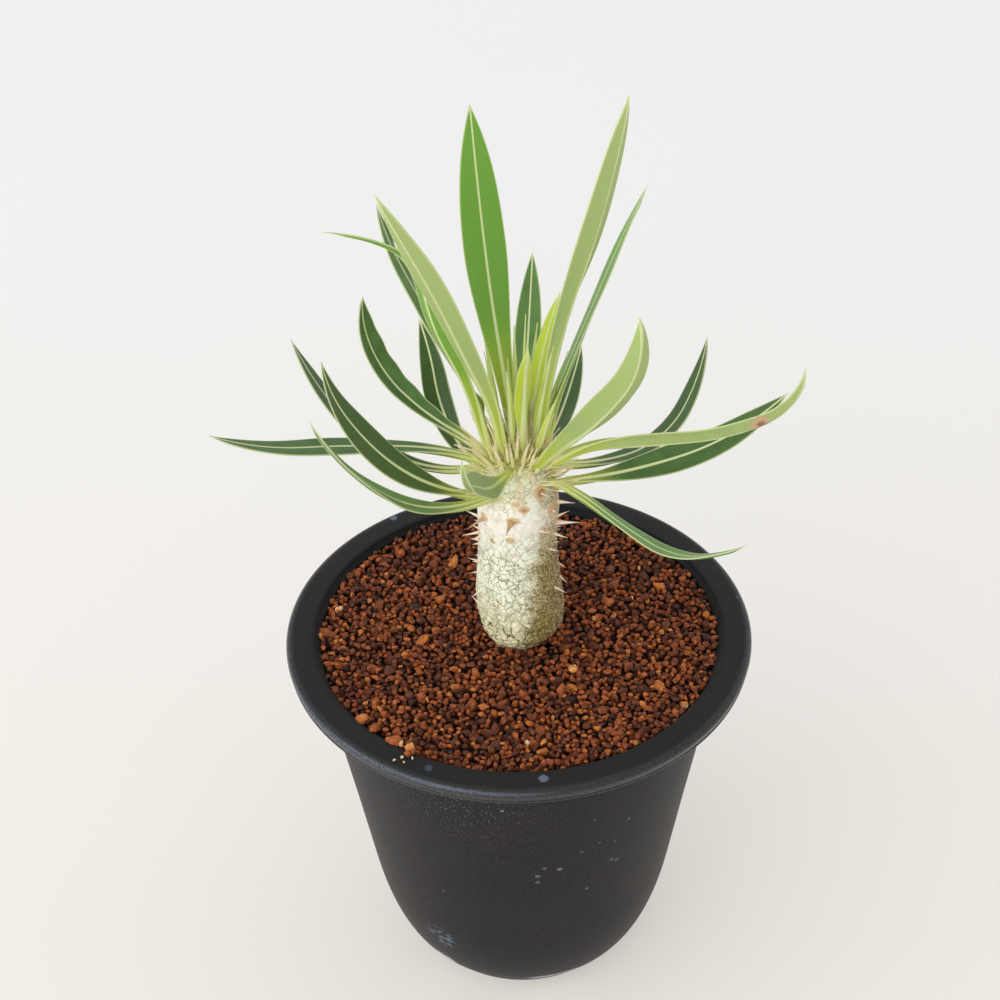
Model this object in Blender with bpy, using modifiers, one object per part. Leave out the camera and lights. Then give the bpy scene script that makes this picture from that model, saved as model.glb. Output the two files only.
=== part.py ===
"""Potted Pachypodium inopinatum: a plastic pot, its grit soil, the spiny caudex and the rosette of leaves.

Metres, +Z up. The origin is the centre of the pot's underside, and the front of the plant faces -Y.
"""
import math
import random
from collections import namedtuple

import bmesh
import bpy
from mathutils import Matrix, Vector, geometry, noise

MM = 0.001
GAP = 0.3 * MM

# Pot: a 105 mm pot, 90 mm tall, with a flat lip and a foot that curves in
POT_HEIGHT = 90.0 * MM
RIM_RADIUS = 52.5 * MM
RIM_INNER_RADIUS = 46.0 * MM
LIP_HEIGHT = 3.7 * MM
LIP_UNDER_RADIUS = 51.6 * MM
LIP_ROUND = 1.3 * MM
LIP_ROUND_POINTS = 4
MOULD_STEP = 0.3 * MM
MOUTH_BEVEL = 0.5 * MM
THROAT_DEPTH = 1.4 * MM
THROAT_STEP = 1.0 * MM
NECK_RADIUS = 45.8 * MM
WALL_FOOT_RADIUS = 36.0 * MM
WALL_FOOT_HEIGHT = 27.0 * MM
FOOT_UPPER_HANDLE = (33.6 * MM, 12.0 * MM)
FOOT_LOWER_HANDLE = (30.0 * MM, 4.5 * MM)
BASE_RADIUS = 26.0 * MM
BASE_CHAMFER = 0.6 * MM
WALL = 2.0 * MM
FLOOR = 2.5 * MM
DRAIN_COUNT = 6
DRAIN_RADIUS = 4.0 * MM
DRAIN_RING_RADIUS = 16.0 * MM
POT_STEPS = 48
FOOT_CURVE_POINTS = 7

# Soil: grit that fills the pot to the lip and mounds a little round the stem
SOIL_EDGE_HEIGHT = 89.0 * MM
SOIL_CROWN_HEIGHT = 90.0 * MM
SOIL_STEPS = 80
SOIL_RINGS = 17
GRAIN_CELL = 3.8 * MM
GRAIN_HEIGHT = 2.0 * MM
GRAIN_STEP = 0.45 * MM
HOLE_FADE = 2.5 * MM
EDGE_FADE = 1.5 * MM
EDGE_ROUND = 0.6 * MM

# Caudex: a stubby stem that leans a little, with its crown among the leaf bases and a root stub in the soil.
# Each row is the height, the radius and the x of the middle, in millimetres.
ROOT_HEIGHT = 70.0 * MM
STEM_PROFILE = (
    (142.6, 0.0, 0.5), (142.0, 2.5, 0.5), (140.5, 4.2, 0.5), (138.0, 5.5, 0.5), (135.0, 6.7, 0.5),
    (132.0, 7.7, 0.5), (129.0, 8.6, 0.5), (125.0, 8.9, 0.4), (118.0, 8.6, 0.2), (112.0, 8.75, 0.1),
    (107.0, 9.2, 0.2), (102.0, 9.6, 0.3), (98.0, 9.75, 0.6), (95.5, 9.5, 0.8), (93.0, 9.1, 0.8),
    (91.0, 7.75, 0.3), (89.0, 6.6, 0.1), (84.0, 5.6, 0.1), (76.0, 4.6, 0.1), (70.0, 3.0, 0.1),
)
STEM_STEPS = 40
STEM_RING_SPACING = 1.7 * MM
BARK_CELL = 3.2 * MM
BARK_DEPTH = 0.45 * MM
BARK_LEVEL = 0.6
BARK_CRACK = 0.5
BARK_TOP = 122.0 * MM
BARK_TOP_FADE = 10.0 * MM
BARK_BOTTOM = 92.0 * MM
BARK_BOTTOM_FADE = 4.0 * MM
HOLE_RADIUS = 7.8 * MM

# Spines on the front of the stem, as their feet stand and head. swing is how far the heading turns from the
# foot's azimuth, and lean is its rise above the horizontal.
Spine = namedtuple("Spine", "azimuth height swing lean length radius")
FRONT_SPINES = (
    Spine(340, 128.0, 16, -6, 4.0, 0.60), Spine(341, 123.7, 23, 23, 2.9, 0.42),
    Spine(338, 122.5, 21, -2, 5.2, 0.72), Spine(333, 120.1, 1, -5, 3.3, 0.50),
    Spine(339, 116.7, 15, 17, 1.1, 0.30), Spine(321, 116.9, 13, 3, 2.6, 0.36),
    Spine(0, 108.9, -24, -28, 1.9, 0.30), Spine(352, 106.4, -24, -35, 2.5, 0.32),
    Spine(329, 105.7, -1, -9, 3.0, 0.38), Spine(298, 123.8, 28, 6, 2.6, 0.42),
    Spine(190, 123.0, -26, 21, 3.0, 0.50), Spine(213, 125.4, -8, -21, 4.4, 0.55),
    Spine(193, 119.9, -20, 29, 2.0, 0.36), Spine(198, 119.8, -12, -8, 3.9, 0.50),
    Spine(197, 118.6, 8, -6, 1.8, 0.45), Spine(195, 116.3, -2, 2, 1.7, 0.40),
    Spine(193, 113.0, 3, -2, 1.0, 0.35), Spine(192, 110.8, -23, 15, 2.5, 0.36),
    Spine(192, 108.0, -1, 2, 1.8, 0.30), Spine(197, 103.0, 9, -20, 1.8, 0.36),
    Spine(198, 99.1, -50, 41, 2.7, 0.38), Spine(260, 127.0, -9, -5, 4.3, 0.95),
    Spine(232, 120.6, -12, 37, 1.6, 0.35), Spine(279, 130.0, -53, 8, 1.6, 0.40),
    Spine(309, 132.5, 0, 7, 2.3, 0.40), Spine(325, 127.5, -19, 4, 1.8, 0.40),
    Spine(314, 122.6, -10, 15, 1.5, 0.35),
)

# Spines round the back: pairs beside each old leaf scar, scars in a spiral up the stem, longest near the top
SCAR_COUNT = 36
SCAR_LOW = 97.0 * MM
SCAR_HIGH = 127.5 * MM
SCAR_TURN = 137.5
SCAR_CROWDING = 0.8
SPINE_SPREAD = 1.3 * MM
SPINE_SHORTEST = 0.9 * MM
SPINE_LONGEST = 4.6 * MM
SPINE_LENGTHENING = 1.3
SPINE_LEAN = (-20.0, 22.0)
SPINE_SWING = (2.0, 28.0)
SPINE_REACH = (0.55, 1.1)
SPINE_ROOT_RADIUS = 0.5
BACK_FROM = 14.0
BACK_TO = 172.0
SPINE_TIP_RADIUS = 0.12 * MM
SPINE_SINK = 0.9 * MM
SPINE_SEED = 7

# Leaves: folded lance-shaped blades, seated just clear of the crown
BLADE_THICKNESS = 0.6 * MM
BLADE_STATIONS = 19
BLADE_SEAT = 0.65 * MM
BASE_BREADTH = 0.34
TIP_BREADTH = 0.3 * MM
TIP_POWER = 2.4
TWIST_REACH = 0.35
FOLD_REACH = 0.3
BASE_FOLD = 0.25
WAVES = 7.0
PATH_STEPS = 190

# Each leaf, from the lowest outside to the youngest inside. The azimuth runs from +X, height is that of the
# base, and sweep is how far the azimuth swings by the tip. The rises above the horizontal are at even steps
# along it. fold lifts each half from the flat, twist turns the blade about its midrib, widest is where along
# it that is, and wave is how far the right margin ruffles. Degrees and millimetres.
Leaf = namedtuple("Leaf", "azimuth height length sweep rises width fold twist widest wave")
LEAVES = (
    Leaf(229, 132.5, 70, -4, (12, 46, 66), 6.5, 8, -15, 0.55, 0.0),
    Leaf(209, 131.1, 60, -1, (23, 40, 54, 64, 83), 7.2, 7, -48, 0.52, 0.0),
    Leaf(178, 135.8, 56, -3, (-18, 28, 59, 70), 5.6, 4, -4, 0.60, 0.0),
    Leaf(193, 137.9, 61, 0, (30, 12, 7, 30), 6.2, 4, 2, 0.56, 0.0),
    Leaf(148, 136.4, 49, -6, (13, 14, 31, 66, 102), 6.6, 27, -6, 0.62, 0.5),
    Leaf(131, 129.6, 41, -7, (-22, 45, 79, 56), 6.5, 26, -37, 0.55, 0.0),
    Leaf(86, 136.5, 57, 0, (0, 16, 30), 6.5, 25, 0, 0.55, 0.0),
    Leaf(70, 131.0, 41, 4, (-20, -2, 18, 30), 6.2, 20, 5, 0.50, 0.0),
    Leaf(15, 135.0, 52, 14, (-20, 4, 62, 84), 6.0, 6, -5, 0.55, 0.0),
    Leaf(1, 131.3, 54, 1, (1, 13, 20, 36, 48), 6.9, 7, 30, 0.51, 0.0),
    Leaf(346, 137.1, 66, -1, (45, 11, 14, 34, 90), 7.0, 32, -37, 0.49, 0.0),
    Leaf(335, 134.5, 50, -6, (-14, -30, -20, 26, 42), 5.5, 5, -20, 0.50, 0.0),
    Leaf(307, 139.0, 59, 22, (48, 47, 59, 100), 8.6, 32, -40, 0.55, 0.0),
    Leaf(255, 138.5, 62, 9, (20, 29, 40, 36, 75), 6.5, 25, -57, 0.52, 0.0),
    Leaf(164, 139.0, 61, 0, (81, 65, 62, 64, 78), 6.6, 4, 0, 0.60, 0.8),
    Leaf(203, 139.0, 79, 10, (78, 74, 66, 80, 38, 20), 5.5, 5, 20, 0.50, 0.0),
    Leaf(234, 140.8, 87, -4, (80, 64, 65, 62, 62), 6.9, 15, 10, 0.60, 0.0),
    Leaf(107, 141.6, 71, 7, (66, 62, 73, 78, 81), 9.4, 4, 0, 0.58, 0.0),
    Leaf(347, 141.6, 87, -17, (81, 78, 72, 77, 80), 7.9, 18, -19, 0.63, 0.0),
    Leaf(7, 139.6, 65, 4, (82, 71, 69, 69, 64), 6.1, 4, -8, 0.51, 0.0),
    Leaf(286, 141.6, 30, 0, (98, 86, 76, 74, 66), 3.8, 18, 15, 0.51, 0.0),
    Leaf(41, 141.0, 34, 0, (88, 76, 64), 4.2, 15, 0, 0.50, 0.0),
)


def smooth(x):
    """Ease from 0 to 1 while x goes from 0 to 1."""
    x = min(max(x, 0.0), 1.0)
    return x * x * (3.0 - 2.0 * x)


def along(values, s):
    """Value at s, from 0 to 1, of evenly spaced values joined by straight stretches."""
    x = s * (len(values) - 1)
    i = min(int(x), len(values) - 2)
    return values[i] + (values[i + 1] - values[i]) * (x - i)


def bezier(start, first_handle, second_handle, end, count):
    """Points of a profile curve as (radius, height)."""
    corners = [Vector((r, 0.0, z)) for r, z in (start, first_handle, second_handle, end)]
    return [(p.x, p.z) for p in geometry.interpolate_bezier(*corners, count)]


def arc(centre, radius, start, end, count):
    """Points of a rounded edge as (radius, height), between two angles in degrees."""
    angles = [math.radians(start + (end - start) * i / (count - 1)) for i in range(count)]
    return [(centre[0] + radius * math.cos(a), centre[1] + radius * math.sin(a)) for a in angles]


def material(name, colour, roughness):
    """A plain finish for one kind of piece."""
    finish = bpy.data.materials.new(name)
    finish.use_nodes = True
    shader = finish.node_tree.nodes["Principled BSDF"]
    shader.inputs["Base Color"].default_value = (*colour, 1.0)
    shader.inputs["Roughness"].default_value = roughness
    shader.inputs["Metallic"].default_value = 0.0
    return finish


def new_object(name, mesh, collection, finish=None):
    """Put a mesh into a collection as a named object."""
    made = bpy.data.objects.new(name, mesh)
    collection.objects.link(made)
    if finish:
        mesh.materials.append(finish)
    return made


def turned(name, profile, steps, collection, finish):
    """Spin a profile of (radius, height) points, which runs down its outer side, about the Z axis."""
    mesh = bpy.data.meshes.new(name)
    edges = [(i, i + 1) for i in range(len(profile) - 1)]
    mesh.from_pydata([(r, 0.0, z) for r, z in profile], edges, [])
    made = new_object(name, mesh, collection, finish)
    spin = made.modifiers.new("Screw", "SCREW")
    spin.angle = math.tau
    spin.steps = steps
    spin.render_steps = steps
    spin.use_merge_vertices = True
    spin.merge_threshold = 0.00001
    return made


def bake(made):
    """Turn an object's modifiers into its mesh."""
    bpy.context.view_layer.update()
    evaluated = made.evaluated_get(bpy.context.evaluated_depsgraph_get())
    mesh = bpy.data.meshes.new_from_object(evaluated)
    made.modifiers.clear()
    made.data = mesh


def shade(made, degrees):
    """Smooth the rounds and keep the edges sharper than the angle."""
    made.data.shade_smooth()
    made.data.set_sharp_from_angle(angle=math.radians(degrees))


def foot_curve(inset):
    """The wall's curve from the straight side in to the base, moved in by a wall thickness."""
    start = (WALL_FOOT_RADIUS - inset, WALL_FOOT_HEIGHT + inset * 0.4)
    upper = (FOOT_UPPER_HANDLE[0] - inset, FOOT_UPPER_HANDLE[1] + inset * 0.4)
    lower = (FOOT_LOWER_HANDLE[0] - inset, FOOT_LOWER_HANDLE[1] + inset)
    end = (BASE_RADIUS - inset * 0.6, BASE_CHAMFER + inset)
    return bezier(start, upper, lower, end, FOOT_CURVE_POINTS)


def inner_wall(inset):
    """The inside of the wall from the lip down to the floor, moved in by a clearance."""
    neck = [
        (RIM_INNER_RADIUS - inset, POT_HEIGHT - MOUTH_BEVEL),
        (RIM_INNER_RADIUS - THROAT_STEP - inset, POT_HEIGHT - THROAT_DEPTH),
        (NECK_RADIUS - WALL - inset, POT_HEIGHT - LIP_HEIGHT - THROAT_STEP),
    ]
    return neck + foot_curve(WALL + inset)[:-1]


def make_pot(collection, cutters):
    """The pot as one turned shell, with a ring of drain holes round the middle of its floor."""
    foot = foot_curve(0.0)
    inside = inner_wall(0.0)[::-1]
    floor_radius = inside[0][0] - THROAT_STEP
    lip_edge = arc((RIM_RADIUS - LIP_ROUND, POT_HEIGHT - LIP_ROUND), LIP_ROUND, 90.0, 0.0, LIP_ROUND_POINTS)
    profile = [(0.0, FLOOR), (floor_radius * 0.5, FLOOR), (floor_radius, FLOOR)]
    profile += inside
    profile += [(RIM_INNER_RADIUS + MOUTH_BEVEL, POT_HEIGHT)]
    profile += lip_edge
    profile += [(LIP_UNDER_RADIUS + MOULD_STEP, POT_HEIGHT - LIP_HEIGHT + MOULD_STEP)]
    profile += [(LIP_UNDER_RADIUS, POT_HEIGHT - LIP_HEIGHT), (NECK_RADIUS, POT_HEIGHT - LIP_HEIGHT)]
    profile += foot
    profile += [(BASE_RADIUS - BASE_CHAMFER, 0.0), (BASE_RADIUS * 0.5, 0.0), (0.0, 0.0)]
    plastic = material("black_plastic", (0.018, 0.019, 0.021), 0.55)
    pot = turned("pot", profile, POT_STEPS, collection, plastic)

    for i in range(DRAIN_COUNT):
        turn = math.tau * (i + 0.5) / DRAIN_COUNT
        mesh = bpy.data.meshes.new("drain_cutter")
        shape = bmesh.new()
        bmesh.ops.create_cone(
            shape, cap_ends=True, segments=12, radius1=DRAIN_RADIUS, radius2=DRAIN_RADIUS, depth=4.0 * FLOOR
        )
        shape.to_mesh(mesh)
        shape.free()
        cutter = new_object("drain_cutter_%d" % (i + 1), mesh, cutters)
        spoke = Vector((math.cos(turn), math.sin(turn), 0.0))
        cutter.location = spoke * DRAIN_RING_RADIUS + Vector((0.0, 0.0, FLOOR / 2.0))
        cutter.hide_render = True
        cutter.display_type = "WIRE"
    cut = pot.modifiers.new("Drain holes", "BOOLEAN")
    cut.operation = "DIFFERENCE"
    cut.operand_type = "COLLECTION"
    cut.collection = cutters
    cut.solver = "EXACT"
    shade(pot, 35.0)
    return pot


def grain_relief(place):
    """Height of the grit at a place: each grain is a dome at its own level, with low ground between."""
    distances, centres = noise.voronoi(place / GRAIN_CELL)
    return GRAIN_HEIGHT * (0.5 - min(distances[0], 1.0)) + GRAIN_STEP * noise.cell(centres[0] * 9.0)


def make_soil(collection):
    """The filled grit, with a plain blind hole for the stem and a lumpy top."""
    outside = inner_wall(GAP)
    rim_point = (outside[1][0], SOIL_EDGE_HEIGHT)
    hole_floor = ROOT_HEIGHT - GAP
    top = []
    for i in range(SOIL_RINGS + 1):
        s = i / SOIL_RINGS
        radius = HOLE_RADIUS + (rim_point[0] - HOLE_RADIUS) * s
        height = SOIL_CROWN_HEIGHT + (SOIL_EDGE_HEIGHT - SOIL_CROWN_HEIGHT) * s * s
        top.append((radius, height))
    floor_radius = outside[-1][0] - THROAT_STEP
    profile = [(0.0, hole_floor), (HOLE_RADIUS, hole_floor)]
    profile += top
    profile += [point for point in outside if point[1] < SOIL_EDGE_HEIGHT - EDGE_ROUND]
    profile += [(floor_radius, FLOOR + GAP), (0.0, FLOOR + GAP)]
    soil = turned("soil", profile, SOIL_STEPS, collection, material("grit", (0.13, 0.038, 0.014), 0.95))
    bake(soil)
    for vertex in soil.data.vertices:
        place = vertex.co.copy()
        radius = math.hypot(place.x, place.y)
        from_hole = smooth((radius - HOLE_RADIUS) / HOLE_FADE)
        from_edge = smooth((rim_point[0] - radius) / EDGE_FADE)
        if place.z > SOIL_EDGE_HEIGHT - EDGE_ROUND / 2.0:
            vertex.co.z += grain_relief(place) * from_hole * from_edge
    return soil


def stem_value(height, column):
    """Radius or middle, by its column in the profile, of the bare stem at a height, in metres."""
    for upper, lower in zip(STEM_PROFILE, STEM_PROFILE[1:]):
        if lower[0] * MM <= height <= upper[0] * MM:
            part = (height / MM - lower[0]) / (upper[0] - lower[0])
            return (lower[column] + (upper[column] - lower[column]) * part) * MM
    return 0.0


def stem_radius(height):
    """Radius of the bare stem at a height."""
    return stem_value(height, 1)


def stem_middle(height):
    """Point on the stem's axis at a height."""
    return Vector((stem_value(height, 2), 0.0, height))


def bark_relief(place):
    """Raised knobs parted by a net of cracks, fading out up the stem and in the soil."""
    distances = noise.voronoi(place / BARK_CELL)[0]
    knob = smooth((distances[1] - distances[0]) / BARK_CRACK)
    fade_up = smooth((BARK_TOP - place.z) / BARK_TOP_FADE)
    fade_down = smooth((place.z - BARK_BOTTOM) / BARK_BOTTOM_FADE)
    return BARK_DEPTH * (knob - BARK_LEVEL) * fade_up * fade_down


def back_spines():
    """The pairs of spines beside the scars round the back."""
    draw = random.Random(SPINE_SEED)
    made = []
    for i in range(SCAR_COUNT):
        level = (i + 0.5) / SCAR_COUNT
        height = (SCAR_LOW + (SCAR_HIGH - SCAR_LOW) * level ** SCAR_CROWDING) / MM
        length = (SPINE_SHORTEST + (SPINE_LONGEST - SPINE_SHORTEST) * level ** SPINE_LENGTHENING) / MM
        for side in (-1.0, 1.0):
            spread = side * math.degrees(SPINE_SPREAD / stem_radius(height * MM))
            azimuth = (SCAR_TURN * i + spread) % 360.0
            swing = side * draw.uniform(*SPINE_SWING)
            lean = draw.uniform(*SPINE_LEAN)
            reach = length * draw.uniform(*SPINE_REACH)
            if BACK_FROM < azimuth < BACK_TO:
                made.append(Spine(azimuth, height, swing, lean, reach, SPINE_ROOT_RADIUS))
    return made


def make_spines(stock):
    """Three-sided spines on the stem, each sunk into it, as separate pieces in the stock collection."""
    for spine in list(FRONT_SPINES) + back_spines():
        height = spine.height * MM
        turn = math.radians(spine.azimuth)
        heading_turn = math.radians(spine.azimuth + spine.swing)
        lean = math.radians(spine.lean)
        outward = Vector((math.cos(turn), math.sin(turn), 0.0))
        level = Vector((math.cos(heading_turn), math.sin(heading_turn), 0.0))
        heading = level * math.cos(lean) + Vector((0.0, 0.0, math.sin(lean)))
        foot = stem_middle(height) + outward * stem_radius(height)
        depth = spine.length * MM + SPINE_SINK
        pose = Matrix.Translation(foot + heading * (spine.length * MM - SPINE_SINK) / 2.0)
        pose = pose @ heading.to_track_quat("Z", "Y").to_matrix().to_4x4()
        mesh = bpy.data.meshes.new("spine")
        shape = bmesh.new()
        bmesh.ops.create_cone(
            shape, cap_ends=True, segments=3, radius1=spine.radius * MM, radius2=SPINE_TIP_RADIUS,
            depth=depth, matrix=pose
        )
        shape.to_mesh(mesh)
        shape.free()
        new_object("spine_stock_%d" % len(stock.objects), mesh, stock)


def make_caudex(collection):
    """The stem with its root stub, knobbly bark and spines, as one grown piece."""
    profile = [(r * MM, z * MM) for z, r, x in STEM_PROFILE[:2]]
    height = STEM_PROFILE[1][0] * MM
    while height - STEM_RING_SPACING > BARK_BOTTOM - 4.0 * MM:
        height -= STEM_RING_SPACING
        profile.append((stem_radius(height), height))
    profile += [(r * MM, z * MM) for z, r, x in STEM_PROFILE if z * MM < height - STEM_RING_SPACING]
    profile += [(0.0, ROOT_HEIGHT)]
    caudex = turned("caudex", profile, STEM_STEPS, collection, material("bark", (0.46, 0.47, 0.33), 0.8))
    bake(caudex)
    for vertex in caudex.data.vertices:
        place = vertex.co.copy()
        outward = Vector((place.x, place.y, 0.0))
        if outward.length > GAP:
            vertex.co += outward.normalized() * bark_relief(place)
        vertex.co.x += stem_middle(place.z).x

    stock = bpy.data.collections.new("spine_stock")
    bpy.context.scene.collection.children.link(stock)
    make_spines(stock)
    join = caudex.modifiers.new("Spines", "BOOLEAN")
    join.operation = "UNION"
    join.operand_type = "COLLECTION"
    join.collection = stock
    join.solver = "EXACT"
    bake(caudex)
    for piece in list(stock.objects):
        bpy.data.objects.remove(piece)
    bpy.data.collections.remove(stock)
    return caudex


def breadth(leaf, s):
    """Half the blade's width at s along it, narrow at the base and pointed at the tip."""
    if s < leaf.widest:
        share = BASE_BREADTH + (1.0 - BASE_BREADTH) * smooth(s / leaf.widest)
    else:
        share = 1.0 - ((s - leaf.widest) / (1.0 - leaf.widest)) ** TIP_POWER
    return max(leaf.width * MM / 2.0 * share, TIP_BREADTH)


def blade_path(leaf):
    """Places along the midrib, each with its s, the blade's sideways axis and its upward axis."""
    azimuth = math.radians(leaf.azimuth)
    start = stem_radius(leaf.height * MM) + BLADE_SEAT
    place = stem_middle(leaf.height * MM) + start * Vector((math.cos(azimuth), math.sin(azimuth), 0.0))
    path = []
    last = None
    for i in range(PATH_STEPS + 1):
        s = i / PATH_STEPS
        rise = math.radians(along(leaf.rises, s))
        turn = azimuth + math.radians(leaf.sweep * s)
        ahead = Vector((math.cos(rise) * math.cos(turn), math.cos(rise) * math.sin(turn), math.sin(rise)))
        if last:
            place = place + (ahead + last) / 2.0 * (leaf.length * MM / PATH_STEPS)
        last = ahead
        level = Vector((-math.sin(turn), math.cos(turn), 0.0))
        twist = Matrix.Rotation(math.radians(leaf.twist) * smooth(s / TWIST_REACH), 3, ahead)
        path.append((s, place, twist @ level, twist @ ahead.cross(level)))
    return path


def blade_point(leaf, path, s, side):
    """A point of the blade's middle surface; side runs from -1 at the right margin to 1 at the left."""
    s, place, across, up = path[round(s * PATH_STEPS)]
    fold = math.radians(leaf.fold) * (BASE_FOLD + (1.0 - BASE_FOLD) * smooth(s / FOLD_REACH))
    half = breadth(leaf, s)
    point = place + across * (side * half * math.cos(fold)) + up * (abs(side) * half * math.sin(fold))
    if side < 0.0:
        ends = smooth(4.0 * s) * smooth(4.0 * (1.0 - s))
        point += up * (leaf.wave * MM * -side * math.sin(math.tau * WAVES * s) * ends)
    return point


def make_leaf(name, leaf, collection, finish):
    """One blade, from a flat grid bent along its midrib, cut into triangles and given its thickness."""
    path = blade_path(leaf)
    mesh = bpy.data.meshes.new(name)
    sheet = bmesh.new()
    bmesh.ops.create_grid(sheet, x_segments=BLADE_STATIONS, y_segments=2, size=0.5)
    for vertex in sheet.verts:
        vertex.co = blade_point(leaf, path, vertex.co.x + 0.5, vertex.co.y * 2.0)
    bmesh.ops.triangulate(sheet, faces=sheet.faces)
    sheet.to_mesh(mesh)
    sheet.free()
    blade = new_object(name, mesh, collection, finish)
    solidify = blade.modifiers.new("Thickness", "SOLIDIFY")
    solidify.thickness = BLADE_THICKNESS
    solidify.offset = 0.0
    solidify.use_even_offset = True
    shade(blade, 40.0)
    return blade


def main():
    for old in list(bpy.data.objects):
        bpy.data.objects.remove(old)
    plant = bpy.data.collections.new("potted_pachypodium")
    cutters = bpy.data.collections.new("cutters")
    bpy.context.scene.collection.children.link(plant)
    bpy.context.scene.collection.children.link(cutters)

    make_pot(plant, cutters)
    make_soil(plant)
    make_caudex(plant)
    green = material("leaf_green", (0.09, 0.21, 0.04), 0.45)
    for i, leaf in enumerate(LEAVES):
        make_leaf("leaf_%02d" % (i + 1), leaf, plant, green)


if __name__ == "__main__":
    main()
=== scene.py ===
"""Potted Pachypodium inopinatum: the finished look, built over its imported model.

Metres, +Z up. The origin is the centre of the pot's underside, and the front of the plant faces -Y.
"""

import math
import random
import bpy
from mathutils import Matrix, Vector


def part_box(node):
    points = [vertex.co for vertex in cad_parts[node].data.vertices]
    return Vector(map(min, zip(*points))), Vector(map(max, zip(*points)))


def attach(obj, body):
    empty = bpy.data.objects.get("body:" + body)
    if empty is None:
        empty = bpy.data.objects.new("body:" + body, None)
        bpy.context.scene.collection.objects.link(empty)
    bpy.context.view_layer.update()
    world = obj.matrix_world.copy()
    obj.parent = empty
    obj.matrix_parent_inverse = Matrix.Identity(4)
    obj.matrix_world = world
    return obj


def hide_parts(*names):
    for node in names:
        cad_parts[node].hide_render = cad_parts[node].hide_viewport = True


bl_info = {
    "name": "Potted pachypodium",
    "version": (1, 0, 0),
    "blender": (4, 5, 0),
    "location": "3D View > Sidebar > Pachypodium",
    "description": "Pot, grit, spiny stem and leaves of a potted pachypodium, with its studio",
    "category": "Add Mesh",
}

from collections import namedtuple

import bmesh
import bpy
import numpy as np
from bpy.props import FloatProperty, FloatVectorProperty, IntProperty, PointerProperty
from bpy.types import Operator, Panel, PropertyGroup
from mathutils import Matrix, Vector, geometry, noise

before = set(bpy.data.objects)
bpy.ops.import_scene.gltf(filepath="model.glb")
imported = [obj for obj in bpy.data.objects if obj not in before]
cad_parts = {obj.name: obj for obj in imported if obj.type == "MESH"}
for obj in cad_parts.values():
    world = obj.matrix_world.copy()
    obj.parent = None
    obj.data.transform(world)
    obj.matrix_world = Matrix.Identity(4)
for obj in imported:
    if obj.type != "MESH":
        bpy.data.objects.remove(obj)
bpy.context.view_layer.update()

MM = 0.001
POT_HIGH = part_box("pot")[1]
BODY = "root"

# Pot. LIP_TURN is how the lip's outer edge turns under, as steps outwards and upwards in millimetres.
LIP_HEIGHT = 3.7 * MM
LIP_UNDER_RADIUS = 51.6 * MM
LIP_ROUNDING = 1.3 * MM
LIP_TURN = ((0.42, 0.75), (0.56, 0.62), (0.5, 0.34), (0.2, 0.12), (0.0, 0.0))
MOUTH_RADIUS = 46.0 * MM
MOUTH_ROUNDING = 0.5 * MM
NECK_RADIUS = 45.8 * MM
NECK_ROUNDING = 0.6 * MM
WALL_FOOT = (36.0 * MM, 27.0 * MM)
FOOT_UPPER_HANDLE = (33.6 * MM, 12.0 * MM)
FOOT_LOWER_HANDLE = (30.0 * MM, 4.5 * MM)
FOOT_END = 1.5 * MM
INSIDE_LIFT = 0.4
BASE_RADIUS = 26.0 * MM
BASE_ROUNDING = 0.6 * MM
FLOOR = 2.5 * MM
FLOOR_MARGIN = 1.5 * MM
WALL = 2.0 * MM
POT_STEPS = 192
FOOT_POINTS = 14
DRAIN_COUNT = 6
DRAIN_RADIUS = 4.0 * MM
DRAIN_RING_RADIUS = 16.0 * MM

# Heights between which the pot's plastic changes, and between which painted shade and a painted highlight
# lie
DUST_FROM = (48.0 * MM, 82.0 * MM)
DUST_TO = (84.0 * MM, 87.0 * MM)
GREYED_LIP = (86.0 * MM, 89.0 * MM)
DARK_THROAT = (80.0 * MM, 84.0 * MM)
LIP_HIGHLIGHT_FROM = (88.7 * MM, 89.1 * MM)
LIP_HIGHLIGHT_TO = (89.45 * MM, 89.8 * MM)
POLISHED_BASE = (1.2 * MM, 3.2 * MM)

# Dried water drops on the pot, as place and radius in millimetres and strength
WATER_MARKS = (
    (4.6, -48.2, 90.0, 1.15, 0.85), (-29.6, 41.1, 90.0, 0.9, 0.8), (-19.4, -44.6, 90.0, 0.95, 0.3),
    (50.2, 9.4, 90.0, 0.35, 0.7), (4.9, -40.3, 54.2, 0.6, 0.5), (3.4, -40.0, 51.3, 0.72, 0.6),
    (3.4, -39.6, 49.0, 0.66, 0.45), (8.3, -39.6, 53.0, 0.62, 0.85), (21.2, -33.7, 49.7, 0.62, 0.45),
    (20.1, -34.6, 50.7, 0.5, 0.7), (17.2, -37.8, 59.5, 0.42, 0.5), (15.9, -40.0, 69.0, 0.36, 0.6),
    (23.6, -35.0, 64.0, 0.42, 1.0), (-4.2, -44.0, 76.3, 0.36, 1.0), (14.5, -35.9, 42.7, 0.42, 0.8),
    (-18.2, -33.7, 40.4, 0.36, 0.8), (20.6, -35.6, 57.6, 0.4, 0.5), (13.2, -39.0, 58.0, 0.5, 0.35),
)

# Painted glints along the pot's foot edge, as place, half height and reach in millimetres
FOOT_GLINTS = ((-18.9, -23.3, 6.3, 2.2, 3.8), (7.0, -28.1, 4.4, 1.7, 7.5))
SCUFF_PLACE = (-19.5, -28.5, 19.0)
SCUFF_RADIUS = 5.5 * MM

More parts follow.
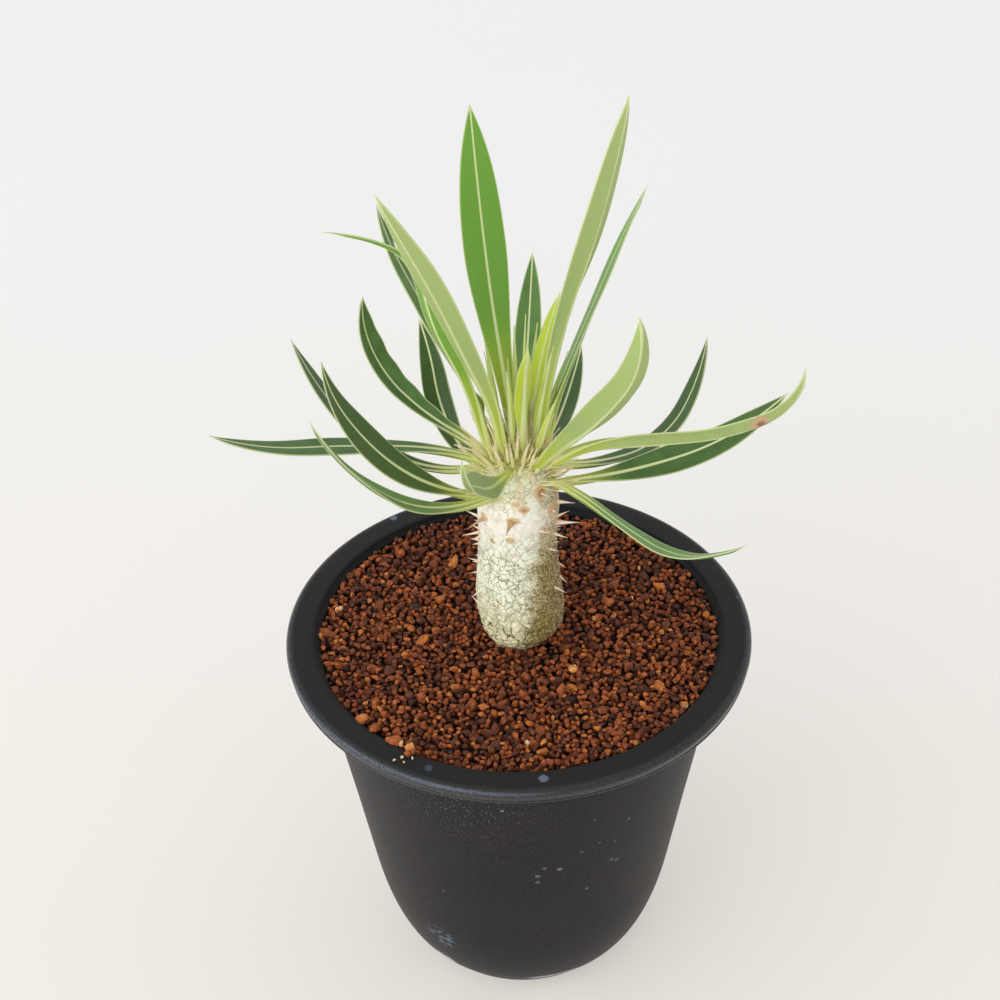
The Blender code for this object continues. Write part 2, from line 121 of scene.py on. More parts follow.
# Grit
SOIL_EDGE_HEIGHT = 89.0 * MM
SOIL_CROWN_HEIGHT = 90.0 * MM
SOIL_RADIUS = 45.1 * MM
BED_RADIUS = SOIL_RADIUS - 1.4 * MM
BED_DROP = 3.4 * MM
HOLE_RADIUS = 7.8 * MM
ROOT_HEIGHT = 70.0 * MM
GRAIN_SHAPES = 12
GRAIN_FACES = 40
GRAIN_CUTS = 10
GRAIN_CUT_REACH = (0.5, 0.84)
GRAIN_CUT_SHARE = 0.95
GRAIN_SWELL = 1.08
GRAIN_LUMPS = 0.34
GRAIN_LUMP_PITCH = 1.9
GRAIN_SQUEEZES = ((1.0, 1.36), (0.86, 1.06), (0.7, 0.98))
GRAIN_DEPTH = 2.9 * MM
GRAIN_SKEW = 1.9
GRAIN_NESTING = 0.86
ODD_GRAIN_NESTING = 0.8
BED_STEPS = 128
BED_RINGS = 40
BED_GAP = 0.3 * MM
BED_ROUGHNESS = 0.5 * MM
BED_LUMP = 1.6 * MM
# The bed shows only between the grains; its near-black tone is painted shade
BED_SHADE_TONE = 0.02
SWELL = 0.35 * MM
SWELL_WIDTH = 9.0 * MM
LOOSE_RISE = 0.75 * MM
HOLE_OVERLAP = 1.4 * MM

# Tones of the grains, from 0, dark, to 1, straw-coloured
TONE_MIDDLE = 0.45
TONE_SPREAD = 0.17
TONE_TOP = 0.74
BRIGHT_SHARE = 0.009
BRIGHT_TONES = (0.74, 0.9)
# Grains that lie deep among others, and those far back under the leaves, are darkened as painted shade
SUNK_SHADE = 0.26
SUNK_DEPTH = 2.2 * MM
SUNK_FROM = 0.15
BACK_SHADE = 0.09

# The pieces that the dropped grains are sorted into, each with the tone that its grains are below
GRAIN_SORTS = (("grit_dark", 0.34), ("grit_brown", 0.56), ("grit_rust", 1.0))

# Single grains that stand out, then those on the lip, as x, y and radius in millimetres and tone
ODD_GRAINS = (
    (11.9, -14.3, 1.3, 0.84), (-33.9, -28.4, 1.6, 0.78), (-41.0, 8.3, 1.1, 0.88), (-31.4, -31.6, 1.5, 0.6),
    (-26.7, -35.6, 1.7, 0.66), (1.6, -36.9, 0.55, 1.1), (30.5, -20.0, 1.4, 0.74), (-15.0, 24.0, 1.4, 0.78),
    (-21.5, -4.0, 1.3, 0.74), (21.0, 8.5, 1.4, 0.7), (-8.0, -26.0, 1.2, 0.72), (33.0, 14.0, 1.2, 0.8),
)
RIM_GRAINS = (
    (-23.2, -38.9, 1.1, 0.86), (-24.0, -40.9, 0.8, 0.6), (-22.8, -40.1, 0.75, 0.5), (-25.4, -37.5, 0.6, 1.0),
    (-26.7, -42.3, 0.36, 1.2), (-25.1, -41.5, 0.4, 1.1), (-22.9, -41.8, 0.36, 1.2), (-24.6, -43.0, 0.3, 1.0),
)

# Stem, which leans a little. Each row is the height, the radius and the x of the middle, in millimetres.
STEM_PROFILE = (
    (142.6, 0.0, 0.5), (142.0, 2.5, 0.5), (140.5, 4.2, 0.5), (138.0, 5.5, 0.5), (135.0, 6.7, 0.5),
    (132.0, 7.7, 0.5), (129.0, 8.6, 0.5), (125.0, 8.9, 0.4), (118.0, 8.6, 0.2), (112.0, 8.75, 0.1),
    (107.0, 9.2, 0.2), (102.0, 9.6, 0.3), (98.0, 9.75, 0.6), (95.5, 9.5, 0.8), (93.0, 9.1, 0.8),
    (91.0, 7.75, 0.3), (89.0, 6.6, 0.1), (84.0, 5.6, 0.1), (76.0, 4.6, 0.1), (70.0, 3.0, 0.1),
)
BARK_SEED = 3
STEM_STEPS = 250
RING_SPACING = 0.26 * MM
RINGS_END = 88.0 * MM
BARK_END = 80.0 * MM

# Raised net of the bark. Its heights are in millimetres.
NET_CELL = 2.3 * MM
NET_WARP = 0.5 * MM
NET_WARP_WIDTH = 1.5 * MM
NET_STRETCH = 0.72
NET_TOP = 107.0
NET_FADE = 10.0
KNOB_TOP = 130.0
KNOB_FADE = 16.0
CRACK_SHARE = 0.2
KNOB_SHARE = 0.7
KNOB_RISE = 0.6
SCAR_RISE = 0.3 * MM
SCAR_REACH = 3.0 * MM

# Heights between which the stem's skin changes
PLATED_SKIN = (96.0 * MM, 105.0 * MM)
YELLOWED_SKIN = (93.0 * MM, 110.0 * MM)
AGED_SKIN = (113.0 * MM, 126.0 * MM)
TANNED_SKIN = (118.0 * MM, 127.0 * MM)
STREAKED_SKIN = (127.0 * MM, 131.0 * MM)
GREEN_SKIN = (128.5 * MM, 134.0 * MM)
CROWN_SKIN = (136.0 * MM, 140.0 * MM)

# The stem's olive side, part weathering and part painted shade, starts this far right of the middle, and
# leans outwards from this height
SIDE_FROM = (0.6 * MM, 5.6 * MM)
SIDE_FOOT = 105.0 * MM
SIDE_LEAN = 0.12
SIDE_EDGE = (6.6 * MM, 8.8 * MM)

# Leaf scars on the front of the stem: azimuth, height, half width and half height in millimetres, strength
FRONT_SCARS = (
    (309, 132.7, 1.7, 1.5, 1.0), (278, 129.9, 1.2, 0.75, 0.9), (264, 131.2, 1.1, 0.7, 0.55),
    (325, 127.8, 1.6, 1.2, 0.9), (214, 125.8, 1.4, 1.0, 0.8), (238, 126.7, 0.6, 0.9, 0.35),
    (231, 120.5, 0.8, 0.5, 0.9), (259, 122.1, 1.1, 0.9, 0.7), (265, 118.0, 1.4, 0.8, 0.3),
    (316, 122.7, 1.0, 0.8, 0.8), (262, 127.4, 1.5, 0.8, 0.9), (194, 117.9, 1.0, 0.9, 0.8),
    (345, 131.4, 1.0, 0.9, 0.7), (300, 114.5, 0.8, 0.7, 0.3), (335, 117.5, 0.9, 0.8, 0.5),
)

# Spines on the front of the stem, as their feet stand and head. swing is how far the heading turns from the
# foot's azimuth, and lean is its rise above the horizontal.
Spine = namedtuple("Spine", "azimuth height swing lean length radius")
FRONT_SPINES = (
    Spine(340, 128.0, 16, -6, 4.0, 0.60), Spine(341, 123.7, 23, 23, 2.9, 0.42),
    Spine(338, 122.5, 21, -2, 5.2, 0.72), Spine(333, 120.1, 1, -5, 3.3, 0.50),
    Spine(339, 116.7, 15, 17, 1.1, 0.30), Spine(321, 116.9, 13, 3, 2.6, 0.36),
    Spine(0, 108.9, -24, -28, 1.9, 0.30), Spine(352, 106.4, -24, -35, 2.5, 0.32),
    Spine(329, 105.7, -1, -9, 3.0, 0.38), Spine(298, 123.8, 28, 6, 2.6, 0.42),
    Spine(190, 123.0, -26, 21, 3.0, 0.50), Spine(213, 125.4, -8, -21, 4.4, 0.55),
    Spine(193, 119.9, -20, 29, 2.0, 0.36), Spine(198, 119.8, -12, -8, 3.9, 0.50),
    Spine(197, 118.6, 8, -6, 1.8, 0.45), Spine(195, 116.3, -2, 2, 1.7, 0.40),
    Spine(193, 113.0, 3, -2, 1.0, 0.35), Spine(192, 110.8, -23, 15, 2.5, 0.36),
    Spine(192, 108.0, -1, 2, 1.8, 0.30), Spine(197, 103.0, 9, -20, 1.8, 0.36),
    Spine(198, 99.1, -50, 41, 2.7, 0.38), Spine(260, 127.0, -9, -5, 4.3, 0.95),
    Spine(232, 120.6, -12, 37, 1.6, 0.35), Spine(279, 130.0, -53, 8, 1.6, 0.40),
    Spine(309, 132.5, 0, 7, 2.3, 0.40), Spine(325, 127.5, -19, 4, 1.8, 0.40),
    Spine(314, 122.6, -10, 15, 1.5, 0.35),
)

# Spines and scars round the back, in pairs beside each scar
SCAR_COUNT = 36
SCAR_LOW = 97.0 * MM
SCAR_HIGH = 127.5 * MM
SCAR_TURN = 137.5
SCAR_CROWDING = 0.8
SPINE_SPREAD = 1.3 * MM
SPINE_SHORTEST = 0.9 * MM
SPINE_LONGEST = 4.6 * MM
SPINE_LENGTHENING = 1.3
SPINE_LEAN = (-20.0, 22.0)
SPINE_SWING = (2.0, 28.0)
SPINE_REACH = (0.55, 1.1)
SPINE_SEED = 7
SPINE_ROOT_RADIUS = 0.42
SPINE_SINK = 0.4 * MM
BACK_FROM = 14.0
BACK_TO = 172.0
BACK_SCAR_WIDTH = 1.1 * MM
BACK_SCAR_HEIGHT = 0.8 * MM
THORN_FROM = 205.0
THORN_TO = 290.0
SPINE_RINGS = 6
SPINE_SIDES = 8
SPINE_BEND = 0.2
THORN_BEND = 0.3

# Fine spines beside each leaf's foot, then those over the crown. A pair of numbers is the span that a
# measure is drawn from, in millimetres or degrees.
STIPULES = 7
STIPULE_BEND = 1.5
STIPULE_SPREAD = (-30.0, 30.0)
STIPULE_SHIFT = (-1.8, 1.0)
STIPULE_SWING = (-14.0, 14.0)
STIPULE_LIFT = (-8.0, 30.0)
STIPULE_LENGTH = (3.0, 8.5)
STIPULE_RADIUS = (0.11, 0.22)
STIPULE_TOP = 142.0
CROWN_STIPULES = 44
CROWN_STIPULE_REACH = (0.6, 5.2)
CROWN_STIPULE_LEAN = (48.0, 84.0)
CROWN_STIPULE_LENGTH = (3.5, 9.5)
CROWN_STIPULE_RADIUS = (0.12, 0.22)
CROWN_TOP = 142.8
CROWN_CURVE = 0.09

# Shoots and scales of the crown. Each row of them stands up a spiral that starts at turn, and its leaves
# stand higher and steeper and get longer towards the middle. bends are added to a leaf's rise, from foot to
# tip.
Spans = namedtuple("Spans", "length sweep width fold twist")
Spiral = namedtuple("Spiral", "count turn height climb rise steepening waver bends lengthening widest spans")
SHOOTS = Spiral(
    count=14, turn=40.0, height=139.4, climb=2.9, rise=70.0, steepening=16.0, waver=4.0,
    bends=(6.0, 0.0, -2.0), lengthening=12.0, widest=0.3,
    spans=Spans((18.0, 22.0), (-10.0, 10.0), (1.1, 1.6), (30.0, 55.0), (-25.0, 25.0)),
)
SCALES = Spiral(
    count=70, turn=95.0, height=136.0, climb=6.2, rise=52.0, steepening=30.0, waver=10.0,
    bends=(8.0, 0.0, -6.0), lengthening=0.0, widest=0.12,
    spans=Spans((4.5, 10.5), (-25.0, 25.0), (0.36, 0.8), (10.0, 35.0), (-30.0, 30.0)),
)
SHOOT_YOUTH = (0.7, 1.0)

# Scales on both sides of each leaf's foot
FOOT_SCALE_SIDES = (-1.0, -0.6, 0.6, 1.0)
FOOT_SCALE_ASIDE = (14.0, 22.0)
FOOT_SCALE_SHIFT = (-0.6, 0.8)
FOOT_SCALE_TOP = 141.8
FOOT_SCALE_LIFT = (2.0, 26.0)
FOOT_SCALE_SPANS = Spans((3.0, 8.0), (-10.0, 25.0), (0.36, 0.75), (10.0, 35.0), (-30.0, 30.0))
SMALL_STATIONS = 16
SMALL_COLUMNS = 4

# Blades
BLADE_STATIONS = 96
BLADE_COLUMNS = 12
BLADE_LIFT = 0.2 * MM
BLADE_SEAT = 0.65 * MM
BLADE_ROOT = 2.4 * MM
BLADE_DIP = 0.35
ROOT_SHARE = 0.055
BASE_BREADTH = 0.27
TIP_BREADTH = 0.16 * MM
TIP_POWER = 2.4
TWIST_REACH = 0.35
FOLD_REACH = 0.3
BASE_FOLD = 0.25
VALLEY_ROUNDING = 0.14
MARGIN_CURL = 0.05
FLUTTER = 0.035
FLUTTER_TURNS = 2.3
FLUTTER_SHIFT = 0.37
WAVES = 7.0
PATH_STEPS = 384

# Thickness of a blade: skin at its margin and beside its midrib, and the midrib below it
FULL_DEPTH = 1.9 * MM
MARGIN_SKIN = 0.26
SKIN_SWELL = 0.2
RIB_DEPTH = 1.35 * MM
RIB_TIP_DEPTH = 0.12 * MM
RIB_TAPER = 1.6
RIB_WIDTH = 0.95
RIB_NARROWING = 0.5

# Each leaf, from the lowest outside to the youngest inside. The azimuth runs from +X, height is that of the
# base, and sweep is how far the azimuth swings by the tip. The rises above the horizontal are at even steps
# along it. fold lifts each half from the flat, twist turns the blade about its midrib, and widest is where
# along it the blade is broadest. wave is how far the right margin ruffles. youth runs from 0, old and dark,
# to 1, just opened. Lengths are in millimetres and angles in degrees.
Leaf = namedtuple("Leaf", "azimuth height length sweep rises width fold twist widest wave youth")
LEAVES = (
    Leaf(229, 132.5, 70, -4, (12, 46, 66), 6.5, 8, -15, 0.55, 0.0, 0.24),
    Leaf(209, 131.1, 60, -1, (23, 40, 54, 64, 83), 7.2, 7, -48, 0.52, 0.0, 0.03),
    Leaf(178, 135.8, 56, -3, (-18, 28, 59, 70), 5.6, 4, -4, 0.60, 0.0, 0.03),
    Leaf(193, 137.9, 61, 0, (30, 12, 7, 30), 6.2, 4, 2, 0.56, 0.0, 0.12),
    Leaf(148, 136.4, 49, -6, (13, 14, 31, 66, 102), 6.6, 27, -6, 0.62, 0.2, 0.14),
    Leaf(131, 129.6, 41, -7, (-22, 45, 79, 56), 6.5, 26, -37, 0.55, 0.0, 0.0),
    Leaf(86, 136.5, 57, 0, (0, 16, 30), 6.5, 25, 0, 0.55, 0.0, 0.22),
    Leaf(70, 131.0, 41, 4, (-20, -2, 18, 30), 6.2, 20, 5, 0.50, 0.0, 0.06),
    Leaf(15, 135.0, 52, 14, (-20, 4, 62, 84), 6.0, 6, -5, 0.55, 0.0, 0.05),
    Leaf(1, 131.3, 54, 1, (1, 13, 20, 36, 48), 6.9, 7, 30, 0.51, 0.0, 0.1),
    Leaf(346, 137.1, 66, -1, (45, 11, 14, 34, 90), 7.0, 32, -37, 0.49, 0.0, 0.34),
    Leaf(335, 134.5, 50, -6, (-14, -30, -20, 26, 42), 5.5, 5, -20, 0.50, 0.0, 0.3),
    Leaf(307, 139.0, 59, 22, (48, 47, 59, 100), 8.6, 32, -40, 0.55, 0.0, 0.42),
    Leaf(255, 138.5, 62, 9, (20, 29, 40, 36, 75), 6.5, 25, -57, 0.52, 0.0, 0.2),
    Leaf(164, 139.0, 61, 0, (81, 65, 62, 64, 78), 6.6, 4, 0, 0.60, 0.8, 0.18),
    Leaf(203, 139.0, 79, 10, (78, 74, 66, 80, 38, 20), 5.5, 5, 20, 0.50, 0.0, 0.6),
    Leaf(234, 140.8, 87, -4, (80, 64, 65, 62, 62), 6.9, 15, 10, 0.60, 0.0, 0.5),
    Leaf(107, 141.6, 71, 7, (66, 62, 73, 78, 81), 9.4, 4, 0, 0.58, 0.0, 0.5),
    Leaf(347, 141.6, 87, -17, (81, 78, 72, 77, 80), 7.9, 18, -19, 0.63, 0.0, 0.45),
    Leaf(7, 139.6, 65, 4, (82, 71, 69, 69, 64), 6.1, 4, -8, 0.51, 0.0, 0.4),
    Leaf(286, 141.6, 30, 0, (98, 86, 76, 74, 66), 3.8, 18, 15, 0.51, 0.0, 1.0),
    Leaf(41, 141.0, 34, 0, (88, 76, 64), 4.2, 15, 0, 0.50, 0.0, 0.95),
)

# Leaves whose underside is on their upper face, and the browned spot near the tip of one, in millimetres
TURNED_LEAVES = (11, 13, 14, 17, 19)
BROWNED_TIP = (50.2, -12.2, 154.6)

# Studio: each light's place, aim, width and colour, and the floor
KEY_LIGHT = ((-1.3, -0.75, 1.0), (0.0, 0.0, 0.1), 1.8, (1.0, 0.995, 0.98))
FILL_LIGHT = ((-0.35, -1.6, 0.5), (0.0, 0.0, 0.11), 1.5, (1.0, 0.99, 0.98))
FLOOR_WIDTH = 12.0
FLOOR_DROP = 0.05 * MM
FLOOR_TURNING = (-0.15, 0.45)

# Camera, its turns in degrees and its sensor in millimetres
SENSOR_WIDTH = 36.0
CAMERA_PLACE = (0.0, -0.37879, 0.41637)
CAMERA_PITCH = 37.435
CAMERA_YAW = -0.5317
CAMERA_ROLL = -1.32


def colour_property(name, description, default):
    """A colour that the sidebar shows as a swatch."""
    return FloatVectorProperty(
        name=name, description=description, default=default, subtype="COLOR", size=3, min=0.0, max=1.0
    )


def number_property(name, description, default, **options):
    """A number, with its unit or subtype where one fits."""
    return FloatProperty(name=name, description=description, default=default, **options)


def length_property(name, description, default):
    """A length that the sidebar shows with its unit."""
    return number_property(name, description, default, subtype="DISTANCE", unit="LENGTH")


class PotSettings(PropertyGroup):
    """Sizes and colours of the plastic pot."""

    rim_radius: length_property("Rim radius", "Outer radius of the lip", POT_HIGH.x)
    height: length_property("Height", "From the foot to the top of the lip", POT_HIGH.z)
    plastic: colour_property("Plastic", "The moulded black plastic", (0.0048, 0.0049, 0.0062))
    worn: colour_property("Worn plastic", "Plastic where handling has greyed it", (0.0110, 0.0108, 0.0128))
    chalk: colour_property("Water marks", "What dried drops leave behind", (0.13, 0.17, 0.22))
    bloom: colour_property("Bloom", "The faint brown clouds in the plastic", (0.011, 0.0075, 0.0075))
    spark: colour_property("Sparks", "The raised points of the spark texture", (0.030, 0.031, 0.037))
    lip: colour_property("Lip", "The greyer plastic of the lip", (0.0135, 0.0140, 0.0165))
    dust: colour_property("Dust", "The fine specks on the wall", (0.20, 0.20, 0.225))
    throat: colour_property("Throat", "The unlit plastic inside the mouth", (0.003, 0.003, 0.003))
    # The lip and foot colours below are painted highlights
    lip_highlight: colour_property("Glinting lip", "The lip's corner where it is rubbed", (0.15, 0.18, 0.26))
    foot_glint: colour_property("Glinting foot", "The foot where it is rubbed", (0.46, 0.47, 0.52))
    coat: colour_property("Coat", "Tint of the polish on the lip's edge", (0.90, 0.94, 1.0))
    sheen: colour_property("Sheen", "Tint of the plastic's sheen", (1.0, 0.92, 0.86))


class GritSettings(PropertyGroup):
    """Sizes and colours of the grit."""

    smallest: length_property("Smallest grain", "Radius of the smallest grain", 0.56 * MM)
    largest: length_property("Largest grain", "Radius of the largest grain", 1.65 * MM)
    tries: IntProperty(name="Grains dropped", description="How many grains are tried", default=52000, min=1)
    seed: IntProperty(name="Seed", description="Start of the grains' random draw", default=11)
    dark: colour_property("Dark grains", "Wet, nearly black grains", (0.026, 0.007, 0.005))
    brown: colour_property("Brown grains", "Most of the grit", (0.158, 0.040, 0.013))
    rust: colour_property("Rust grains", "The dry red-brown grains", (0.500, 0.122, 0.026))
    orange: colour_property("Orange grains", "The few brightest grains", (0.72, 0.28, 0.050))
    chaff: colour_property("Chaff", "The rare straw-coloured bits", (0.88, 0.68, 0.42))


class StemSettings(PropertyGroup):
    """Colours and relief of the stem and its spines."""

    relief: length_property("Bark relief", "Depth of the cracks between the knobs", 0.28 * MM)
    cream: colour_property("Young skin", "The smooth pale skin below the crown", (0.93, 0.91, 0.80))
    knob: colour_property("Knobs", "The raised grey-green knobs", (0.93, 0.95, 0.76))
    crack: colour_property("Cracks", "The dark net between the knobs", (0.130, 0.115, 0.026))
    olive: colour_property("Weathered side", "The olive side away from the light", (0.57, 0.42, 0.14))
    tan: colour_property("Weathered edge", "The tan outermost of that side", (0.70, 0.48, 0.25))
    streak: colour_property("Streaks", "The paler streaks of that side", (0.82, 0.66, 0.36))
    high_streak: colour_property("High streaks", "The tan streaks below the leaves", (0.72, 0.56, 0.34))
    mottle: colour_property("Mottling", "The greenish clouds in the pale skin", (0.76, 0.82, 0.58))
    foot: colour_property("Stem foot", "The yellowed skin near the grit", (1.0, 0.97, 0.60))
    speck: colour_property("Specks", "The dark specks of the weathered side", (0.085, 0.058, 0.014))
    neck: colour_property("Neck", "The greenish skin just below the leaves", (0.80, 0.82, 0.60))
    crown: colour_property("Crown", "The fresh skin between the leaf feet", (0.62, 0.68, 0.16))
    scar: colour_property("Leaf scars", "The tan pads that carried leaves", (0.52, 0.30, 0.11))
    scar_light: colour_property("Scar flecks", "The lighter flecks in the pads", (0.66, 0.44, 0.20))
    bundle: colour_property("Scar middles", "The dark middles of the pads", (0.26, 0.11, 0.028))
    spine: colour_property("Spines", "The shaft of a spine", (0.90, 0.74, 0.62))
    spine_foot: colour_property("Spine feet", "The foot of a spine", (0.72, 0.50, 0.34))
    spine_tip: colour_property("Spine tips", "The keen tip of a spine", (0.55, 0.34, 0.22))
    thorn: colour_property("Front spines", "The browner spines on the front", (0.56, 0.37, 0.23))
    fresh: colour_property("Stipule feet", "The foot of a fine spine", (0.74, 0.78, 0.26))
    stipule: colour_property("Stipules", "The fine spines and dry scales of the crown", (0.98, 0.84, 0.66))
    fibre: colour_property("Scale fibres", "The darker fibres in the dry scales", (0.80, 0.62, 0.40))
    scale_foot: colour_property("Scale feet", "The foot of a dry scale", (0.86, 0.88, 0.40))


class LeafSettings(PropertyGroup):
    """Colours of the leaves."""

    old: colour_property("Old leaves", "Upper side of the outer leaves", (0.029, 0.088, 0.013))
    grown: colour_property("Grown leaves", "Upper side of the leaves in between", (0.155, 0.38, 0.026))
    young: colour_property("Young leaves", "Both sides of the newest leaves", (0.66, 0.78, 0.05))
    under_old: colour_property("Old undersides", "Underside of the outer leaves", (0.15, 0.24, 0.09))
    under_young: colour_property("Young undersides", "Underside of the inner leaves", (0.34, 0.455, 0.145))
    rib: colour_property("Midribs", "Midribs and margins", (0.74, 0.80, 0.42))
    foot: colour_property("Leaf feet", "Where the leaves leave the stem", (0.60, 0.70, 0.07))
    channel: colour_property("Channels", "The dark folds beside the midrib's foot", (0.14, 0.19, 0.008))
    browned: colour_property("Browned rim", "Round the dead spot near a tip", (0.55, 0.34, 0.20))
    dead: colour_property("Dead spot", "The dead spot near a tip", (0.14, 0.05, 0.025))
    vein_spacing: length_property("Vein spacing", "Between the side veins, along the leaf", 0.62 * MM)


class StudioSettings(PropertyGroup):
    """The floor, the lights and the camera."""

    floor: colour_property("Floor", "The pale floor far off", (0.905, 0.905, 0.905))
    near_floor: colour_property("Near floor", "The warmer floor in front", (0.91, 0.87, 0.805))
    glow: number_property("Floor glow", "Share of the floor's brightness that is its own", 0.43)
    key: number_property("Key light", "Power of the large soft light", 11.0, subtype="POWER")
    fill: number_property("Fill light", "Power of the low front light", 8.0, subtype="POWER")
    sky: number_property("Sky", "Strength of the light all round", 0.78)
    lens: number_property("Lens", "Focal length", 79.52, unit="CAMERA")


class Value:
    """A node socket that takes part in arithmetic: each sign adds the Math node that it stands for."""

    def __init__(self, finish, socket):
        self.finish = finish
        self.socket = socket

    def __add__(self, other):
        return self.finish.math("ADD", self, other)

    def __sub__(self, other):
        return self.finish.math("SUBTRACT", self, other)

    def __rsub__(self, other):
        return self.finish.math("SUBTRACT", other, self)

    def __mul__(self, other):
        return self.finish.math("MULTIPLY", self, other)

    def __truediv__(self, other):
        return self.finish.math("DIVIDE", self, other)

    def __pow__(self, power):
        return self.finish.math("POWER", self, power)

    def __abs__(self):
        return self.finish.math("ABSOLUTE", self)

    __radd__ = __add__

    def larger(self, other):
        """The larger of this and another."""
        return self.finish.math("MAXIMUM", self, other)

    def eased(self, low, high):
        """From 0 at low to 1 at high, with soft ends."""
        settings = {"interpolation_type": "SMOOTHSTEP"}
        sockets = {"Value": self, "From Min": low, "From Max": high}
        return Value(self.finish, self.finish.add("ShaderNodeMapRange", settings, sockets).outputs[0])

    def faded(self, low, high):
        """From 1 at low to 0 at high, with soft ends."""
        return 1.0 - self.eased(low, high)


class Finish:
    """A material under construction, with the colour that it has so far."""

    def __init__(self, name):
        self.material = bpy.data.materials.new(name)
        self.material.use_nodes = True
        self.tree = self.material.node_tree
        self.shader = self.tree.nodes["Principled BSDF"]
        self.place = self.add("ShaderNodeTexCoord", {}, {}).outputs["Object"]
        self.colour = None

    def feed(self, node, sockets):
        """Give a node's sockets their values or links."""
        for key, given in sockets.items():
            source = given.socket if isinstance(given, Value) else given
            if isinstance(source, bpy.types.NodeSocket):
                self.tree.links.new(source, node.inputs[key])
            else:
                node.inputs[key].default_value = source

    def add(self, kind, settings, sockets):
        """Add a node of a kind, with its settings first and then its sockets."""
        node = self.tree.nodes.new(kind)
        for key, given in settings.items():
            if key == "stops":
                for i, (at, colour) in enumerate(given):
                    stops = node.color_ramp.elements
                    stop = stops[i] if i < 2 else stops.new(at)
                    stop.position = at
                    stop.color = (*colour, 1.0)
            else:
                setattr(node, key, given)
        self.feed(node, sockets)
        return node

    def math(self, operation, *inputs):
        """Value of a Math node with these inputs."""
        node = self.add("ShaderNodeMath", {"operation": operation}, dict(enumerate(inputs)))
        return Value(self, node.outputs[0])

    def axis(self, letter):
        """One coordinate of the place on the piece."""
        return Value(self, self.add("ShaderNodeSeparateXYZ", {}, {0: self.place}).outputs[letter])

    def attribute(self, name):
        """A number stored on the piece's points."""
        return Value(self, self.add("ShaderNodeAttribute", {"attribute_name": name}, {}).outputs["Fac"])

    def grain(self, scale, detail=2.0, vector=None):
        """Soft noise, with the scale in lumps a metre."""
        sockets = {"Vector": vector or self.place, "Scale": scale, "Detail": detail}
        return Value(self, self.add("ShaderNodeTexNoise", {}, sockets).outputs["Fac"])

    def cells(self, scale, feature="F1", output="Distance", vector=None):
        """Distance or colour of the nearest cell, with the scale in cells a metre."""
        sockets = {"Vector": vector or self.place, "Scale": scale}
        return Value(self, self.add("ShaderNodeTexVoronoi", {"feature": feature}, sockets).outputs[output])

    def warped(self, scale, reach, stretch=1.0):
        """The place pushed about by soft noise, which draws a pattern out upwards by the stretch."""
        drift = self.add("ShaderNodeTexNoise", {}, {"Vector": self.place, "Scale": scale, "Detail": 2.0})
        sockets = {0: drift.outputs["Color"], 1: (reach, reach, reach), 2: self.place}
        pushed = self.add("ShaderNodeVectorMath", {"operation": "MULTIPLY_ADD"}, sockets)
        sockets = {0: pushed.outputs[0], 1: (1.0, 1.0, 1.0 / stretch)}
        return self.add("ShaderNodeVectorMath", {"operation": "MULTIPLY"}, sockets).outputs[0]

    def distance(self, point):
        """Distance from a point of the piece, given in millimetres."""
        sockets = {0: self.place, 1: tuple(c * MM for c in point)}
        node = self.add("ShaderNodeVectorMath", {"operation": "DISTANCE"}, sockets)
        return Value(self, node.outputs["Value"])

    def mixed(self, share, first, second):
        """One colour turning into another as the share goes from 0 to 1."""
        sockets = {0: share, 6: first, 7: second}
        for key in (6, 7):
            if not isinstance(sockets[key], bpy.types.NodeSocket):
                sockets[key] = (*sockets[key], 1.0)
        return self.add("ShaderNodeMix", {"data_type": "RGBA"}, sockets).outputs[2]

    def paint(self, share, colour):
        """Lay a colour over what the finish has so far, where the share is above 0."""
        self.colour = self.mixed(share, self.colour, colour)

    def shade(self, sockets):
        """Feed the colour so far and these sockets to the shader."""
        self.feed(self.shader, {"Base Color": self.colour, **sockets})

    def bump(self, height, depth):
        """Feed a height, from 0 to 1, to the shader as relief of that depth."""
        node = self.add("ShaderNodeBump", {}, {"Height": height, "Distance": depth, "Strength": 1.0})
        self.feed(self.shader, {"Normal": node.outputs["Normal"]})


def smooth(x):
    """Ease from 0 to 1 while x goes from 0 to 1."""
    x = min(max(x, 0.0), 1.0)
    return x * x * (3.0 - 2.0 * x)


def along(values, s):
    """Value at s, from 0 to 1, of evenly spaced values joined by straight stretches."""
    x = s * (len(values) - 1)
    i = min(int(x), len(values) - 2)
    return values[i] + (values[i + 1] - values[i]) * (x - i)


def bezier(start, first_handle, second_handle, end, count):
    """Points of a profile curve as (radius, height)."""
    corners = [Vector((r, 0.0, z)) for r, z in (start, first_handle, second_handle, end)]
    return [(p.x, p.z) for p in geometry.interpolate_bezier(*corners, count)]


def arc(centre, radius, start, end, count):
    """Points of a rounded edge as (radius, height), between two angles in degrees."""
    angles = [math.radians(start + (end - start) * i / (count - 1)) for i in range(count)]
    return [(centre[0] + radius * math.cos(a), centre[1] + radius * math.sin(a)) for a in angles]


def only(*chosen):
    """Select these objects and nothing else, with the first one active."""
    bpy.ops.object.select_all(action="DESELECT")
    for piece in chosen:
        piece.select_set(True)
    bpy.context.view_layer.objects.active = chosen[0]


def fresh(name):
    """Name the object that an operator has just added."""
    piece = bpy.context.view_layer.objects.active
    piece.name = name
    piece.data.name = name
    return piece


def added(name, operator, location=(0.0, 0.0, 0.0), **options):
    """Add a primitive with nothing else selected, and name it."""
    bpy.ops.object.select_all(action="DESELECT")
    operator(location=location, **options)
    return fresh(name)


def placed(name, data):
    """Put new data in the scene as an object."""
    made = bpy.data.objects.new(name, data)
    bpy.context.scene.collection.objects.link(made)
    return made


def at_origin(piece):
    """Move a piece's place into its mesh."""
    piece.data.transform(Matrix.Translation(piece.location))
    piece.location = (0.0, 0.0, 0.0)


